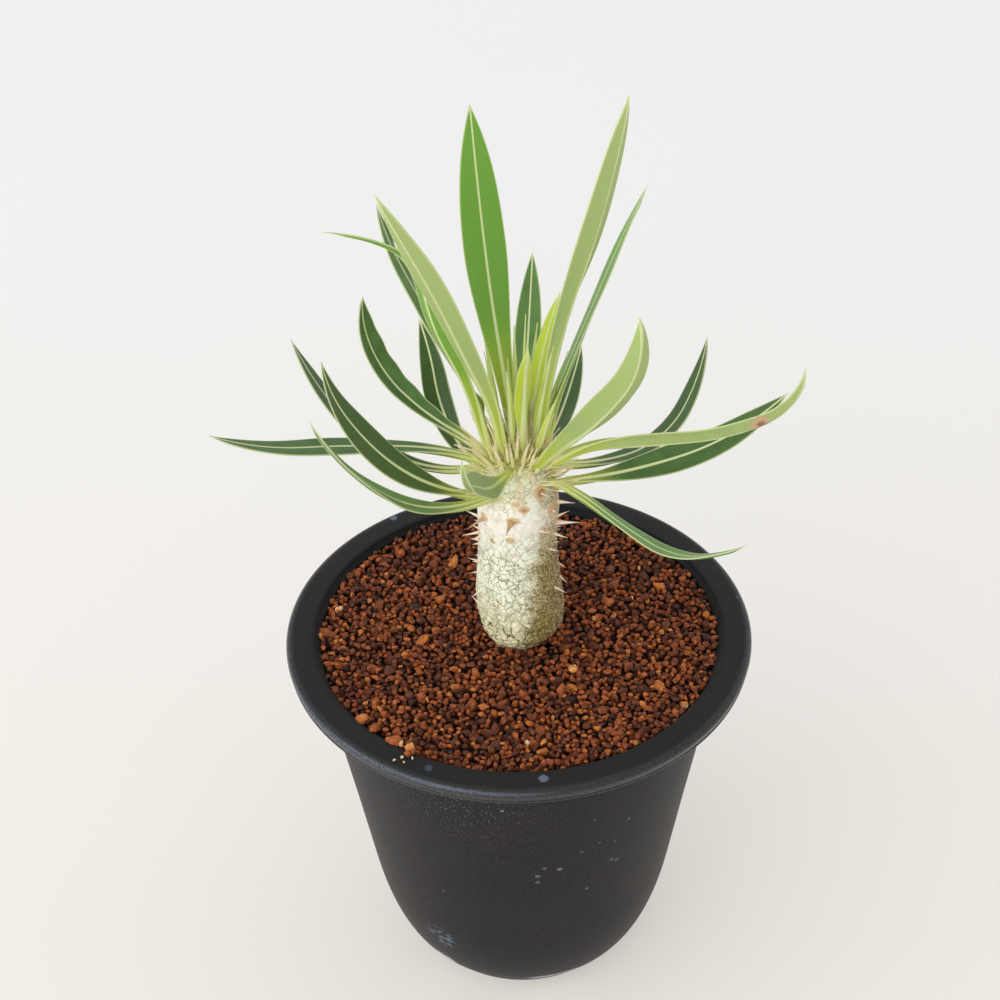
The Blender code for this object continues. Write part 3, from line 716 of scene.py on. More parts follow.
def applied(piece, kind, **options):
    """Give a piece a modifier with these options, and apply it."""
    only(piece)
    modifier = piece.modifiers.new(kind.capitalize(), kind)
    for key, given in options.items():
        setattr(modifier, key, given)
    bpy.ops.object.modifier_apply(modifier=modifier.name)


def joined(name, copies):
    """Join copies into one piece."""
    only(*copies)
    bpy.ops.object.join()
    return fresh(name)


def store(mesh, name, values):
    """Keep one number for each point of a mesh, for its material."""
    layer = mesh.attributes.new(name, "FLOAT", "POINT")
    layer.data.foreach_set("value", np.asarray(values, np.float32))


def stepped(radius, height, *steps):
    """Points of a section as (radius, height), each a step out and up from a corner, in millimetres."""
    return [(radius + out * MM, height + up * MM) for out, up in steps]


def turned(name, profile, steps):
    """Draw a profile of (radius, height) points by extruding a point, and spin it about the upright axis."""
    piece = added(name, bpy.ops.mesh.primitive_plane_add, size=1.0)
    bpy.ops.object.mode_set(mode="EDIT")
    sheet = bmesh.from_edit_mesh(piece.data)
    sheet.verts.ensure_lookup_table()
    bmesh.ops.delete(sheet, geom=sheet.verts[1:], context="VERTS")
    sheet.verts.ensure_lookup_table()
    last = Vector((profile[0][0], 0.0, profile[0][1]))
    sheet.verts[0].co = last
    sheet.verts[0].select = True
    bmesh.update_edit_mesh(piece.data)
    for radius, height in profile[1:]:
        place = Vector((radius, 0.0, height))
        bpy.ops.mesh.extrude_vertices_move(TRANSFORM_OT_translate={"value": place - last})
        last = place
    bpy.ops.mesh.select_all(action="SELECT")
    bpy.ops.mesh.spin(steps=steps, angle=math.tau, center=(0.0, 0.0, 0.0), axis=(0.0, 0.0, 1.0))
    bpy.ops.mesh.select_all(action="SELECT")
    bpy.ops.mesh.remove_doubles(threshold=0.01 * MM)
    bpy.ops.mesh.normals_make_consistent(inside=False)
    bpy.ops.object.mode_set(mode="OBJECT")
    return piece


def smoothed(piece, degrees):
    """Shade a piece smooth and keep the edges sharper than the angle."""
    only(piece)
    bpy.ops.object.shade_smooth_by_angle(angle=math.radians(degrees))


def finished(piece, slot, *materials):
    """Dress a piece and tie it to the body. The slot is not used."""
    piece.data.materials.clear()
    for given in materials:
        piece.data.materials.append(given)
    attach(piece, BODY)


def pot_foot(inset, count):
    """The wall's curve from the straight side in to the base, moved in by a wall thickness."""
    start = (WALL_FOOT[0] - inset, WALL_FOOT[1] + inset * INSIDE_LIFT)
    upper = (FOOT_UPPER_HANDLE[0] - inset, FOOT_UPPER_HANDLE[1] + inset * INSIDE_LIFT)
    lower = (FOOT_LOWER_HANDLE[0] - inset, FOOT_LOWER_HANDLE[1] + inset)
    end = (BASE_RADIUS + 0.5 * MM - inset, FOOT_END + inset)
    return bezier(start, upper, lower, end, count)


def pot_profile(settings):
    """The pot's section, from the middle of its floor up inside, over the lip and down outside."""
    rim = settings.rim_radius
    top = settings.height
    under = top - LIP_HEIGHT
    inside = pot_foot(WALL, FOOT_POINTS)[::-1]
    profile = [(0.0, FLOOR), (0.5 * DRAIN_RING_RADIUS, FLOOR), (DRAIN_RING_RADIUS, FLOOR)]
    profile += [(inside[0][0] - FLOOR_MARGIN, FLOOR)]
    profile += inside
    profile += stepped(NECK_RADIUS, under, (-2.0, -1.0), (-1.2, 0.6))
    profile += stepped(MOUTH_RADIUS, top, (-1.0, -1.4), (-0.25, -0.8))
    profile += arc((MOUTH_RADIUS + MOUTH_ROUNDING, top - MOUTH_ROUNDING), MOUTH_ROUNDING, 180.0, 90.0, 6)
    profile += stepped(MOUTH_RADIUS, top, (1.6, 0.0))
    profile += stepped(rim, top, (-3.0, 0.0))
    profile += arc((rim - LIP_ROUNDING, top - LIP_ROUNDING), LIP_ROUNDING, 90.0, 0.0, 10)
    profile += stepped(LIP_UNDER_RADIUS, under, *LIP_TURN)
    profile += stepped(NECK_RADIUS, under, (2.4, 0.0), (0.7, 0.0))
    profile += arc((NECK_RADIUS + 0.7 * MM, under - NECK_ROUNDING), NECK_ROUNDING, 90.0, 180.0, 5)[1:]
    profile += stepped(NECK_RADIUS, 0.0, (-3.0, 68.0), (-6.4, 48.0))
    profile += pot_foot(0.0, 22)
    profile += stepped(BASE_RADIUS, 0.0, (0.42, 1.25), (0.05, 1.12), (0.02, 0.7))
    profile += arc((BASE_RADIUS - BASE_ROUNDING, BASE_ROUNDING), BASE_ROUNDING, 0.0, -90.0, 6)
    profile += [(BASE_RADIUS - 3.0 * MM, 0.0), (BASE_RADIUS * 0.5, 0.0), (0.0, 0.0)]
    return profile


def plastic_finish(settings):
    """Satin black plastic with a fine spark texture, grey handling marks, dust and dried drops, with painted
    shade inside the mouth and painted highlights on the lip's corner and along the foot.
    """
    look = Finish("pot_plastic")
    x, y, z = look.axis("X"), look.axis("Y"), look.axis("Z")
    spark = look.grain(2300.0, 3.0)
    cloud = look.grain(45.0, 4.0)
    greyed = cloud.eased(0.38, 0.72) * 0.75 + spark.eased(0.4, 0.7) * 0.25
    look.colour = look.mixed(greyed, settings.plastic, settings.worn)
    look.paint(look.grain(60.0, 3.0).eased(0.45, 0.7) * 0.45, settings.bloom)
    look.paint(spark.eased(0.56, 0.68) * 0.6, settings.spark)
    look.paint(z.eased(*GREYED_LIP) * 0.6, settings.lip)

    front = (y * -1.0).eased(0.5 * BASE_RADIUS, NECK_RADIUS)
    left = (x * -1.0).eased(-16.0 * MM, 12.0 * MM)
    dusty = z.eased(*DUST_FROM) * z.faded(*DUST_TO) * left * front
    speck = (look.cells(1800.0) / (0.2 + dusty * 0.12)).faded(0.6, 1.0)
    speck = speck * look.cells(1800.0, output="Color").eased(0.4, 0.62)
    look.paint(speck * (0.14 + dusty * 0.7), settings.dust)

    chalky = look.distance(SCUFF_PLACE).faded(0.3 * SCUFF_RADIUS, SCUFF_RADIUS)
    chalky = chalky * look.grain(620.0, 5.0).eased(0.48, 0.6) * 0.75
    ragged = look.grain(900.0, 2.0) * (0.7 * MM) - 0.35 * MM
    for *place, radius, strength in WATER_MARKS:
        drop = (look.distance(place) + ragged).faded(0.75 * radius * MM, 1.1 * radius * MM)
        chalky = chalky.larger(drop * strength)
    look.paint(chalky, settings.chalk)

    rim = settings.rim_radius
    outer = (x * x + y * y) ** 0.5
    # The plastic just inside the mouth is painted near black, as painted shade
    throat = outer.faded(MOUTH_RADIUS + 0.2 * MM, MOUTH_RADIUS + 1.4 * MM) * z.eased(*DARK_THROAT)
    look.paint(throat * 0.7, settings.throat)
    lip_edge = outer.eased(rim - 1.9 * MM, rim - 0.7 * MM)
    # A bluish band round the lip's front-left corner is painted lighter, as a painted highlight
    left_front = (x * -0.68 - y * 0.73).eased(0.58 * rim, 0.95 * rim)
    corner = lip_edge * z.eased(*LIP_HIGHLIGHT_FROM) * z.faded(*LIP_HIGHLIGHT_TO) * left_front
    look.paint(corner * (spark.eased(0.34, 0.66) * 0.7 + 0.3) * 0.5, settings.lip_highlight)
    # Pale lines where the foot's edge meets the outline at the front and left are painted glints
    for *place, half, reach in FOOT_GLINTS:
        line = abs(z - place[2] * MM).faded(0.4 * half * MM, half * MM)
        glinting = line * look.distance(place).faded(0.5 * reach * MM, reach * MM)
        look.paint(glinting * spark.eased(0.3, 0.5) * 0.85, settings.foot_glint)

    polished = (lip_edge * (0.5 + spark.eased(0.35, 0.6) * 0.5)).larger(z.faded(*POLISHED_BASE))
    look.shade({
        "Roughness": 0.5 + cloud * 0.1 - polished * 0.14 + chalky * 0.2, "Specular IOR Level": 0.18,
        "Coat Weight": polished * 0.8, "Coat Roughness": 0.24, "Coat Tint": (*settings.coat, 1.0),
        "Sheen Weight": 0.06, "Sheen Roughness": 0.45, "Sheen Tint": (*settings.sheen, 1.0),
    })
    look.bump(spark * 0.6 + look.grain(900.0, 2.0) * 0.4, 0.09 * MM)
    return look.material


class PACHYPODIUM_OT_pot(Operator):
    """Turn the plastic pot and cut its drain holes"""

    bl_idname = "pachypodium.pot"
    bl_label = "Pot"

    def execute(self, context):
        settings = context.scene.pachypodium_pot
        pot = turned("pot_moulding", pot_profile(settings), POT_STEPS)
        for i in range(DRAIN_COUNT):
            turn = math.tau * (i + 0.5) / DRAIN_COUNT
            place = (DRAIN_RING_RADIUS * math.cos(turn), DRAIN_RING_RADIUS * math.sin(turn), FLOOR / 2.0)
            cutter = added(
                "drain_cutter", bpy.ops.mesh.primitive_cylinder_add, place,
                vertices=32, radius=DRAIN_RADIUS, depth=4.0 * FLOOR,
            )
            applied(pot, "BOOLEAN", operation="DIFFERENCE", object=cutter)
            bpy.data.objects.remove(cutter)
        smoothed(pot, 32.0)
        finished(pot, "black_plastic", plastic_finish(settings))
        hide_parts("pot")
        return {"FINISHED"}


def soil_height(radius):
    """Height of the grit's surface at a distance from the middle of the pot."""
    s = min(max((radius - HOLE_RADIUS) / (SOIL_RADIUS - HOLE_RADIUS), 0.0), 1.0)
    return SOIL_CROWN_HEIGHT + (SOIL_EDGE_HEIGHT - SOIL_CROWN_HEIGHT) * s * s


def grit_finish(settings):
    """Baked clay grains, each with its own tone, dusty and pitted; the tones carry painted shade on grains
    that lie deep or far back, and on the bed.
    """
    look = Finish("grit")
    mottle = look.grain(900.0, 5.0)
    pits = look.grain(2300.0, 5.0)
    tone = look.attribute("tone") + (mottle - 0.5) * 0.6 + (pits - 0.5) * 0.6
    stops = (
        (0.0, settings.dark), (0.34, settings.brown), (0.66, settings.rust), (0.9, settings.orange),
        (1.0, settings.chaff),
    )
    ramp = look.add("ShaderNodeValToRGB", {"stops": stops}, {"Fac": tone})
    look.colour = ramp.outputs["Color"]
    look.shade({"Roughness": 0.4 + mottle * 0.35, "Specular IOR Level": 0.42})
    look.bump(pits * 0.65 + mottle * 0.35, 0.95 * MM)
    return look.material


def any_way(draw):
    """A unit vector in any direction."""
    return Vector([draw.gauss(0.0, 1.0) for axis in range(3)]).normalized()


def grain_shapes(draw):
    """Unit grains: balls whose sides are cut flat at odd angles, each brought down to a few dozen faces."""
    shapes = []
    for i in range(GRAIN_SHAPES):
        ball = added("grain_shape", bpy.ops.mesh.primitive_ico_sphere_add, subdivisions=2, radius=1.0)
        cuts = [(any_way(draw), draw.uniform(*GRAIN_CUT_REACH)) for k in range(GRAIN_CUTS)]
        aside = Vector((i * 7.0, 0.0, 0.0))
        for vertex in ball.data.vertices:
            vertex.co *= GRAIN_SWELL + GRAIN_LUMPS * noise.noise(vertex.co * GRAIN_LUMP_PITCH + aside)
            for way, reach in cuts:
                over = vertex.co.dot(way) - reach
                if over > 0.0:
                    vertex.co -= way * over * GRAIN_CUT_SHARE
        applied(ball, "DECIMATE", ratio=GRAIN_FACES / len(ball.data.polygons))
        points = np.array([vertex.co for vertex in ball.data.vertices])
        faces = np.array([polygon.vertices[:] for polygon in ball.data.polygons])
        shapes.append((points, faces))
        bpy.data.objects.remove(ball)
    return shapes


def rested(others, x, y, radius, height, nesting):
    """How high a grain comes to rest on others, which it nests between, if it would else lie at a height."""
    for other, wide in others:
        apart = math.hypot(x - other.x, y - other.y)
        touch = nesting * (radius + wide)
        if apart < touch:
            height = max(height, other.z + math.sqrt(touch * touch - apart * apart))
    return height


def dropped_grains(settings, draw):
    """Drop grains one by one on the bed, each coming to rest on those below it: (centre, radius) of each."""
    cell = 2.0 * settings.largest
    heap = {}
    grains = []
    for i in range(settings.tries):
        radius = settings.smallest + (settings.largest - settings.smallest) * draw.random() ** GRAIN_SKEW
        turn = draw.uniform(0.0, math.tau)
        nearest, farthest = HOLE_RADIUS - HOLE_OVERLAP, SOIL_RADIUS - 0.55 * radius
        reach = math.sqrt(draw.uniform(nearest ** 2, farthest ** 2))
        x, y = reach * math.cos(turn), reach * math.sin(turn)
        top = soil_height(reach)
        height = top - GRAIN_DEPTH + 0.3 * radius
        key = (round(x / cell), round(y / cell))
        for column in range(key[0] - 1, key[0] + 2):
            for row in range(key[1] - 1, key[1] + 2):
                height = rested(heap.get((column, row), ()), x, y, radius, height, GRAIN_NESTING)
        swell = SWELL * noise.noise(Vector((x, y, 0.0)) / SWELL_WIDTH)
        if height + 0.8 * radius > top + swell + LOOSE_RISE * draw.random() ** 2.0:
            continue
        centre = Vector((x, y, height))
        heap.setdefault(key, []).append((centre, radius))
        grains.append((centre, radius))
    return grains


def toned_grains(heap, draw):
    """Sort the dropped grains by tone into the three pieces. Those that lie low or far back are darkened, as
    painted shade.
    """
    sorts = {name: [] for name, top in GRAIN_SORTS}
    for centre, radius in heap:
        depth = soil_height(math.hypot(centre.x, centre.y)) - centre.z
        # Deep grains and grains far back are darkened, as painted shade
        sunk = smooth(depth / SUNK_DEPTH - SUNK_FROM)
        shaded = BACK_SHADE * smooth(centre.y / SOIL_RADIUS)
        tone = draw.gauss(TONE_MIDDLE, TONE_SPREAD) - SUNK_SHADE * sunk - shaded
        tone = min(max(tone, 0.0), TONE_TOP)
        if draw.random() < BRIGHT_SHARE:
            tone = draw.uniform(*BRIGHT_TONES)
        sort = next(name for name, top in GRAIN_SORTS if tone < top)
        sorts[sort].append((centre, radius, tone))
    return sorts


def single_grains(heap):
    """The grains that stand out on the heap, and those that lie on the lip."""
    for x, y, radius, tone in ODD_GRAINS:
        x, y, radius = x * MM, y * MM, radius * MM
        surface = soil_height(math.hypot(x, y))
        height = rested(heap, x, y, radius, surface - 0.4 * radius, ODD_GRAIN_NESTING)
        yield Vector((x, y, min(height, surface + 0.2 * radius))), radius, tone
    for x, y, radius, tone in RIM_GRAINS:
        yield Vector((x * MM, y * MM, POT_HIGH.z + 0.7 * radius * MM)), radius * MM, tone


def grit_bed():
    """What fills the pot below the loose grains, with a hole for the root stub."""
    inside = [(r - BED_GAP, z) for r, z in pot_foot(WALL, FOOT_POINTS)]
    reach = BED_RADIUS - HOLE_RADIUS
    radii = [HOLE_RADIUS + reach * i / BED_RINGS for i in range(BED_RINGS + 1)]
    profile = [(0.0, ROOT_HEIGHT - BED_GAP), (HOLE_RADIUS, ROOT_HEIGHT - BED_GAP)]
    profile += [(radius, soil_height(radius) - BED_DROP) for radius in radii]
    profile += inside
    profile += [(inside[-1][0] - FLOOR_MARGIN, FLOOR + BED_GAP), (0.0, FLOOR + BED_GAP)]
    bed = turned("grit_bed", profile, BED_STEPS)
    for vertex in bed.data.vertices:
        if vertex.co.z > SOIL_EDGE_HEIGHT - BED_DROP - 0.1 * MM:
            vertex.co.z += BED_ROUGHNESS * noise.noise(vertex.co / BED_LUMP)
    # The bed is painted near black, as painted shade in the gaps between the grains
    store(bed.data, "tone", [BED_SHADE_TONE] * len(bed.data.vertices))
    smoothed(bed, 50.0)
    return bed


def gathered(name, grains, shapes, draw):
    """One piece out of many grains, each turned and squeezed its own way, with its tone on its points."""
    points, faces, tones = [], [], []
    count = 0
    for centre, radius, tone in grains:
        shape, corners = shapes[draw.randrange(len(shapes))]
        way = any_way(draw)
        pose = np.array(Matrix.Rotation(draw.uniform(0.0, math.tau), 3, way))
        squeeze = np.array([draw.uniform(*span) for span in GRAIN_SQUEEZES])
        points.append((shape * squeeze * radius) @ pose.T + np.array(centre))
        faces.append(corners + count)
        tones += [tone] * len(shape)
        count += len(shape)
    mesh = bpy.data.meshes.new(name)
    mesh.from_pydata(np.vstack(points).tolist(), [], np.vstack(faces).tolist())
    store(mesh, "tone", tones)
    return placed(name, mesh)


class PACHYPODIUM_OT_grit(Operator):
    """Fill the pot with a bed and heap clay grains on it"""

    bl_idname = "pachypodium.grit"
    bl_label = "Grit"

    def execute(self, context):
        settings = context.scene.pachypodium_grit
        draw = random.Random(settings.seed)
        bed = grit_bed()
        material = grit_finish(settings)
        finished(bed, "grit", material)
        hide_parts("soil")

        shapes = grain_shapes(draw)
        heap = dropped_grains(settings, draw)
        sorts = toned_grains(heap, draw)
        sorts["grit_rust"] += single_grains(heap)
        for name, grains in sorts.items():
            piece = gathered(name, grains, shapes, draw)
            smoothed(piece, 31.0)
            finished(piece, "grit", material)
        return {"FINISHED"}


def stem_value(height, column):
    """Radius or middle, by its column in the profile, of the bare stem at a height, in metres."""
    for upper, lower in zip(STEM_PROFILE, STEM_PROFILE[1:]):
        if lower[0] * MM <= height <= upper[0] * MM:
            part = (height / MM - lower[0]) / (upper[0] - lower[0])
            return (lower[column] + (upper[column] - lower[column]) * part) * MM
    return 0.0


def stem_radius(height):
    """Radius of the bare stem at a height."""
    return stem_value(height, 1)


def stem_middle(height):
    """Point on the stem's axis at a height."""
    return Vector((stem_value(height, 2), 0.0, height))


def back_scar(i):
    """Azimuth and height, in degrees and metres, and level from 0 to 1, of one scar of the spiral."""
    level = (i + 0.5) / SCAR_COUNT
    return SCAR_TURN * i % 360.0, SCAR_LOW + (SCAR_HIGH - SCAR_LOW) * level ** SCAR_CROWDING, level


def scars():
    """Each leaf scar: its place, a sideways axis, its half width and half height, and its strength."""
    rows = [(a, z * MM, w * MM, h * MM, strength) for a, z, w, h, strength in FRONT_SCARS]
    for i in range(SCAR_COUNT):
        azimuth, height, level = back_scar(i)
        if BACK_FROM < azimuth < BACK_TO:
            strength = 0.3 + 0.5 * smooth((level - 0.35) / 0.4)
            rows.append((azimuth, height, BACK_SCAR_WIDTH, BACK_SCAR_HEIGHT, strength))
    for azimuth, height, wide, high, strength in rows:
        out = heading(azimuth, 0.0)
        place = stem_middle(height) + out * stem_radius(height)
        yield place, Vector((-out.y, out.x, 0.0)), wide, high, strength


def bark(place):
    """How deep in a crack, from 0 to 1, and how high on a knob, from 0 to 1, a place on the stem is."""
    z = place.z / MM
    warped = place + noise.noise_vector(place / NET_WARP_WIDTH) * NET_WARP
    warped.z *= NET_STRETCH
    nearest = noise.voronoi(warped / NET_CELL)[0]
    wall = nearest[1] - nearest[0]
    low = smooth((NET_TOP - z) / NET_FADE)
    crack = (1.0 - smooth(wall / CRACK_SHARE)) * low
    knob = smooth(wall / KNOB_SHARE) * (0.2 + 0.8 * low) * smooth((KNOB_TOP - z) / KNOB_FADE)
    return crack, knob


def bark_finish(settings):
    """Pale skin with a dark net and knobs lower down, an olive side that is part weathering and part painted
    shade, a green neck and tan leaf scars.
    """
    look = Finish("bark")
    x, z = look.axis("X"), look.axis("Z")
    crack, scar = look.attribute("crack"), look.attribute("scar")
    mottle = look.grain(420.0, 4.0)
    speckle = look.grain(2400.0, 3.0)
    streak = look.grain(520.0, 4.0, look.warped(300.0, 0.8 * MM, 5.0))
    broken = look.grain(300.0, 3.0).eased(0.38, 0.54)
    fine = look.cells(700.0, "DISTANCE_TO_EDGE", vector=look.warped(900.0, 1.8 * MM, 1.3))
    finest = look.cells(1400.0, "DISTANCE_TO_EDGE", vector=look.warped(1500.0, 1.0 * MM))
    plates = look.cells(400.0, "DISTANCE_TO_EDGE", vector=look.warped(520.0, 2.4 * MM, 1.8))
    aged, low, high = z.faded(*AGED_SKIN), z.faded(*PLATED_SKIN), z.eased(*STREAKED_SKIN)
    ragged = (mottle - 0.5) * (5.0 * MM) + (streak - 0.5) * (3.0 * MM)
    side = (x - (z - SIDE_FOOT) * SIDE_LEAN + ragged).eased(*SIDE_FROM)

    look.colour = look.mixed(aged, settings.cream, settings.knob)
    look.paint(mottle.eased(0.5, 0.72) * 0.4, settings.mottle)
    look.paint(z.faded(*YELLOWED_SKIN) * 0.85, settings.foot)
    # The olive side away from the light is part the skin's weathering and part painted shade
    tanned = x.eased(*SIDE_EDGE).larger(z.eased(*TANNED_SKIN))
    weathered_shaded = look.mixed(tanned, settings.olive, settings.tan)
    weathered_shaded = look.mixed(streak.eased(0.5, 0.6) * 0.7, weathered_shaded, settings.streak)
    look.paint(side * (0.66 + aged * 0.32), weathered_shaded)
    look.paint(z.eased(*GREEN_SKIN) * (1.0 - side * 0.6), settings.neck)
    look.paint(z.eased(*CROWN_SKIN), settings.crown)
    look.paint(high * streak.eased(0.5, 0.62) * 0.6, settings.high_streak)

    # The net and specks are stronger on the olive side, partly as painted shade
    net = fine.faded(0.02, 0.085) * (0.3 + broken * 0.5 + side * 0.2) * (1.0 - low * 0.6)
    thread = finest.faded(0.03, 0.14) * (mottle.eased(0.44, 0.6) * 0.4 + side * 0.7 + high * 0.2)
    net = net.larger(thread).larger(plates.faded(0.02, 0.06) * low) * (1.0 - scar)
    look.paint(net * (0.2 + aged * 0.75 + high * 0.5), settings.crack)
    look.paint(crack * 0.2, settings.crack)
    look.paint(speckle.eased(0.52, 0.59) * (0.04 + aged * 0.08 + side * 0.66), settings.speck)
    pad = look.mixed(speckle.eased(0.45, 0.62), settings.scar, settings.scar_light)
    look.paint(scar.eased(0.06, 0.6) * (0.75 + mottle * 0.25) * 0.95, pad)
    bundle = scar.eased(0.72, 0.96) * mottle.eased(0.4, 0.56)
    look.paint(bundle * 0.75, settings.bundle)
    look.shade({"Roughness": 0.6 + net * 0.25})
    look.bump(0.5 - net * 0.35 - bundle * 0.3 + mottle * 0.25 + speckle * 0.25, 0.26 * MM)
    return look.material


def scar_mark(place, pads):
    """How strongly the leaf scars mark a place on the stem, from 0 to 1."""
    mark = 0.0
    for pad, sideways, wide, high, strength in pads:
        away = place - pad
        if away.length < SCAR_REACH:
            spread = math.hypot(away.dot(sideways) / wide, away.z / high)
            mark = max(mark, strength * math.exp(-spread ** 3.0))
    return mark


class PACHYPODIUM_OT_stem(Operator):
    """Turn the stem, and break its skin into knobs, cracks and leaf scars"""

    bl_idname = "pachypodium.stem"
    bl_label = "Stem"

    def execute(self, context):
        settings = context.scene.pachypodium_stem
        profile = [(0.0, STEM_PROFILE[0][0] * MM)]
        height = STEM_PROFILE[0][0] * MM - 0.1 * MM
        while height > RINGS_END:
            profile.append((stem_radius(height), height))
            height -= RING_SPACING
        profile += [(r * MM, z * MM) for z, r, x in STEM_PROFILE if z * MM < RINGS_END]
        profile += [(0.0, ROOT_HEIGHT)]
        stem = turned("stem_bark", profile, STEM_STEPS)
        noise.seed_set(BARK_SEED)
        pads = list(scars())
        cracks, marks = [], []
        for vertex in stem.data.vertices:
            out = Vector((vertex.co.x, vertex.co.y, 0.0))
            vertex.co.x += stem_middle(vertex.co.z).x
            place = vertex.co.copy()
            crack, knob = bark(place)
            mark = scar_mark(place, pads)
            if out.length > 0.3 * MM and place.z > BARK_END:
                rise = settings.relief * (KNOB_RISE * knob - crack * (1.0 - mark)) + SCAR_RISE * mark
                vertex.co += out.normalized() * rise
            cracks.append(crack * (1.0 - mark))
            marks.append(mark)
        store(stem.data, "crack", cracks)
        store(stem.data, "scar", marks)
        stem.data.shade_smooth()
        finished(stem, "bark", bark_finish(settings))
        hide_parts("caudex")
        return {"FINISHED"}


def spine_shape(bend):
    """A unit spine along +Z from its foot at the origin: a cone with rings, bent a little and keen."""
    spine = added(
        "spine_shape", bpy.ops.mesh.primitive_cone_add, (0.0, 0.0, 0.5),
        vertices=SPINE_SIDES, radius1=1.0, radius2=0.12, depth=1.0,
    )
    at_origin(spine)
    bpy.ops.object.mode_set(mode="EDIT")
    for i in range(1, SPINE_RINGS):
        bpy.ops.mesh.select_all(action="SELECT")
        bpy.ops.mesh.bisect(plane_co=(0.0, 0.0, (i / SPINE_RINGS) ** 1.4), plane_no=(0.0, 0.0, 1.0))
    bpy.ops.object.mode_set(mode="OBJECT")
    for vertex in spine.data.vertices:
        height = vertex.co.z
        keep = (0.06 + 0.94 * (1.0 - height) ** 1.35) / max(1.0 - 0.88 * height, 0.05)
        vertex.co.x *= keep
        vertex.co.y *= keep
        vertex.co.x += bend * height * height
    return spine


def planted(name, bend, stands):
    """Copy a unit spine to each stand, (foot, way, length, radius), and join the copies."""
    spine = spine_shape(bend)
    copies = []
    for foot, way, length, radius in stands:
        mesh = spine.data.copy()
        store(mesh, "tip", [vertex.co.z for vertex in mesh.vertices])
        pose = Matrix.Translation(foot) @ way.to_track_quat("Z", "Y").to_matrix().to_4x4()
        mesh.transform(pose @ Matrix.Diagonal((radius, radius, length, 1.0)))
        copies.append(placed(name, mesh))
    bpy.data.objects.remove(spine)
    piece = joined(name, copies)
    piece.data.shade_smooth()
    return piece


def back_spines():
    """The pairs of spines beside the scars round the back."""
    draw = random.Random(SPINE_SEED)
    made = []
    for i in range(SCAR_COUNT):
        scar_azimuth, height, level = back_scar(i)
        length = (SPINE_SHORTEST + (SPINE_LONGEST - SPINE_SHORTEST) * level ** SPINE_LENGTHENING) / MM
        for side in (-1.0, 1.0):
            azimuth = (scar_azimuth + side * math.degrees(SPINE_SPREAD / stem_radius(height))) % 360.0
            swing = side * draw.uniform(*SPINE_SWING)
            lean = draw.uniform(*SPINE_LEAN)
            reach = length * draw.uniform(*SPINE_REACH)
            if BACK_FROM < azimuth < BACK_TO:
                made.append(Spine(azimuth, height / MM, swing, lean, reach, SPINE_ROOT_RADIUS))
    return made


def heading(azimuth, lean):
    """Unit vector at an azimuth and a rise above the horizontal, in degrees."""
    turn, rise = math.radians(azimuth), math.radians(lean)
    return Vector((math.cos(turn) * math.cos(rise), math.sin(turn) * math.cos(rise), math.sin(rise)))


def spine_finish(name, settings, foot, shaft):
    """Horny spines with a flecked shaft, darker at the keen tip."""
    look = Finish(name)
    tip = look.attribute("tip")
    fleck = look.grain(1400.0, 3.0)
    look.colour = look.mixed((tip + (fleck - 0.5) * 0.4).eased(0.05, 0.4), foot, shaft)
    look.paint(tip.eased(0.7, 1.0) * 0.35, settings.spine_tip)
    look.shade({"Roughness": 0.42 + fleck * 0.2})
    look.bump(fleck, 0.05 * MM)
    return look.material


def stem_stands():
    """Stands of the stem's pale spines and of its brown thorns."""
    pale, brown = [], []
    for spine in list(FRONT_SPINES) + back_spines():
        height = spine.height * MM
        foot = stem_middle(height) + heading(spine.azimuth, 0.0) * (stem_radius(height) - SPINE_SINK)
        way = heading(spine.azimuth + spine.swing, spine.lean)
        stand = (foot, way, spine.length * MM + SPINE_SINK, spine.radius * MM)
        (brown if THORN_FROM < spine.azimuth < THORN_TO else pale).append(stand)
    return pale, brown


def crown_stands(draw):
    """Stands of the fine spines beside each leaf's foot and over the crown."""
    stands = []
    for leaf in LEAVES:
        for k in range(STIPULES):
            azimuth = leaf.azimuth + draw.uniform(*STIPULE_SPREAD)
            height = min(leaf.height * MM + draw.uniform(*STIPULE_SHIFT) * MM, STIPULE_TOP * MM)
            towards = azimuth + draw.uniform(*STIPULE_SWING)
            way = heading(towards, max(min(leaf.rises[0], 62.0), 8.0) + draw.uniform(*STIPULE_LIFT))
            foot = stem_middle(height) + heading(azimuth, 0.0) * (stem_radius(height) * 0.95)
            length = draw.uniform(*STIPULE_LENGTH) * MM
            stands.append((foot, way, length, draw.uniform(*STIPULE_RADIUS) * MM))
    for k in range(CROWN_STIPULES):
        azimuth = draw.uniform(0.0, 360.0)
        reach = draw.uniform(*CROWN_STIPULE_REACH) * MM
        foot = stem_middle(130.0 * MM) + heading(azimuth, 0.0) * reach
        foot.z = (CROWN_TOP - CROWN_CURVE * (reach / MM) ** 2.0) * MM
        way = heading(azimuth, draw.uniform(*CROWN_STIPULE_LEAN))
        length = draw.uniform(*CROWN_STIPULE_LENGTH) * MM
        stands.append((foot, way, length, draw.uniform(*CROWN_STIPULE_RADIUS) * MM))
    return stands


class PACHYPODIUM_OT_spines(Operator):
    """Set the stem's spines and the fine ones among the leaf feet"""

    bl_idname = "pachypodium.spines"
    bl_label = "Spines"

    def execute(self, context):
        settings = context.scene.pachypodium_stem
        pale, brown = stem_stands()
        spines = planted("stem_spines", SPINE_BEND, pale)
        finished(spines, "bark", spine_finish("spine_pale", settings, settings.spine_foot, settings.spine))
        thorns = planted("stem_thorns", THORN_BEND, brown)
        finished(thorns, "bark", spine_finish("spine_brown", settings, settings.scar, settings.thorn))
        fine = planted("crown_spines", STIPULE_BEND, crown_stands(random.Random(SPINE_SEED)))
        finished(fine, "bark", spine_finish("stipule", settings, settings.fresh, settings.stipule))
        return {"FINISHED"}


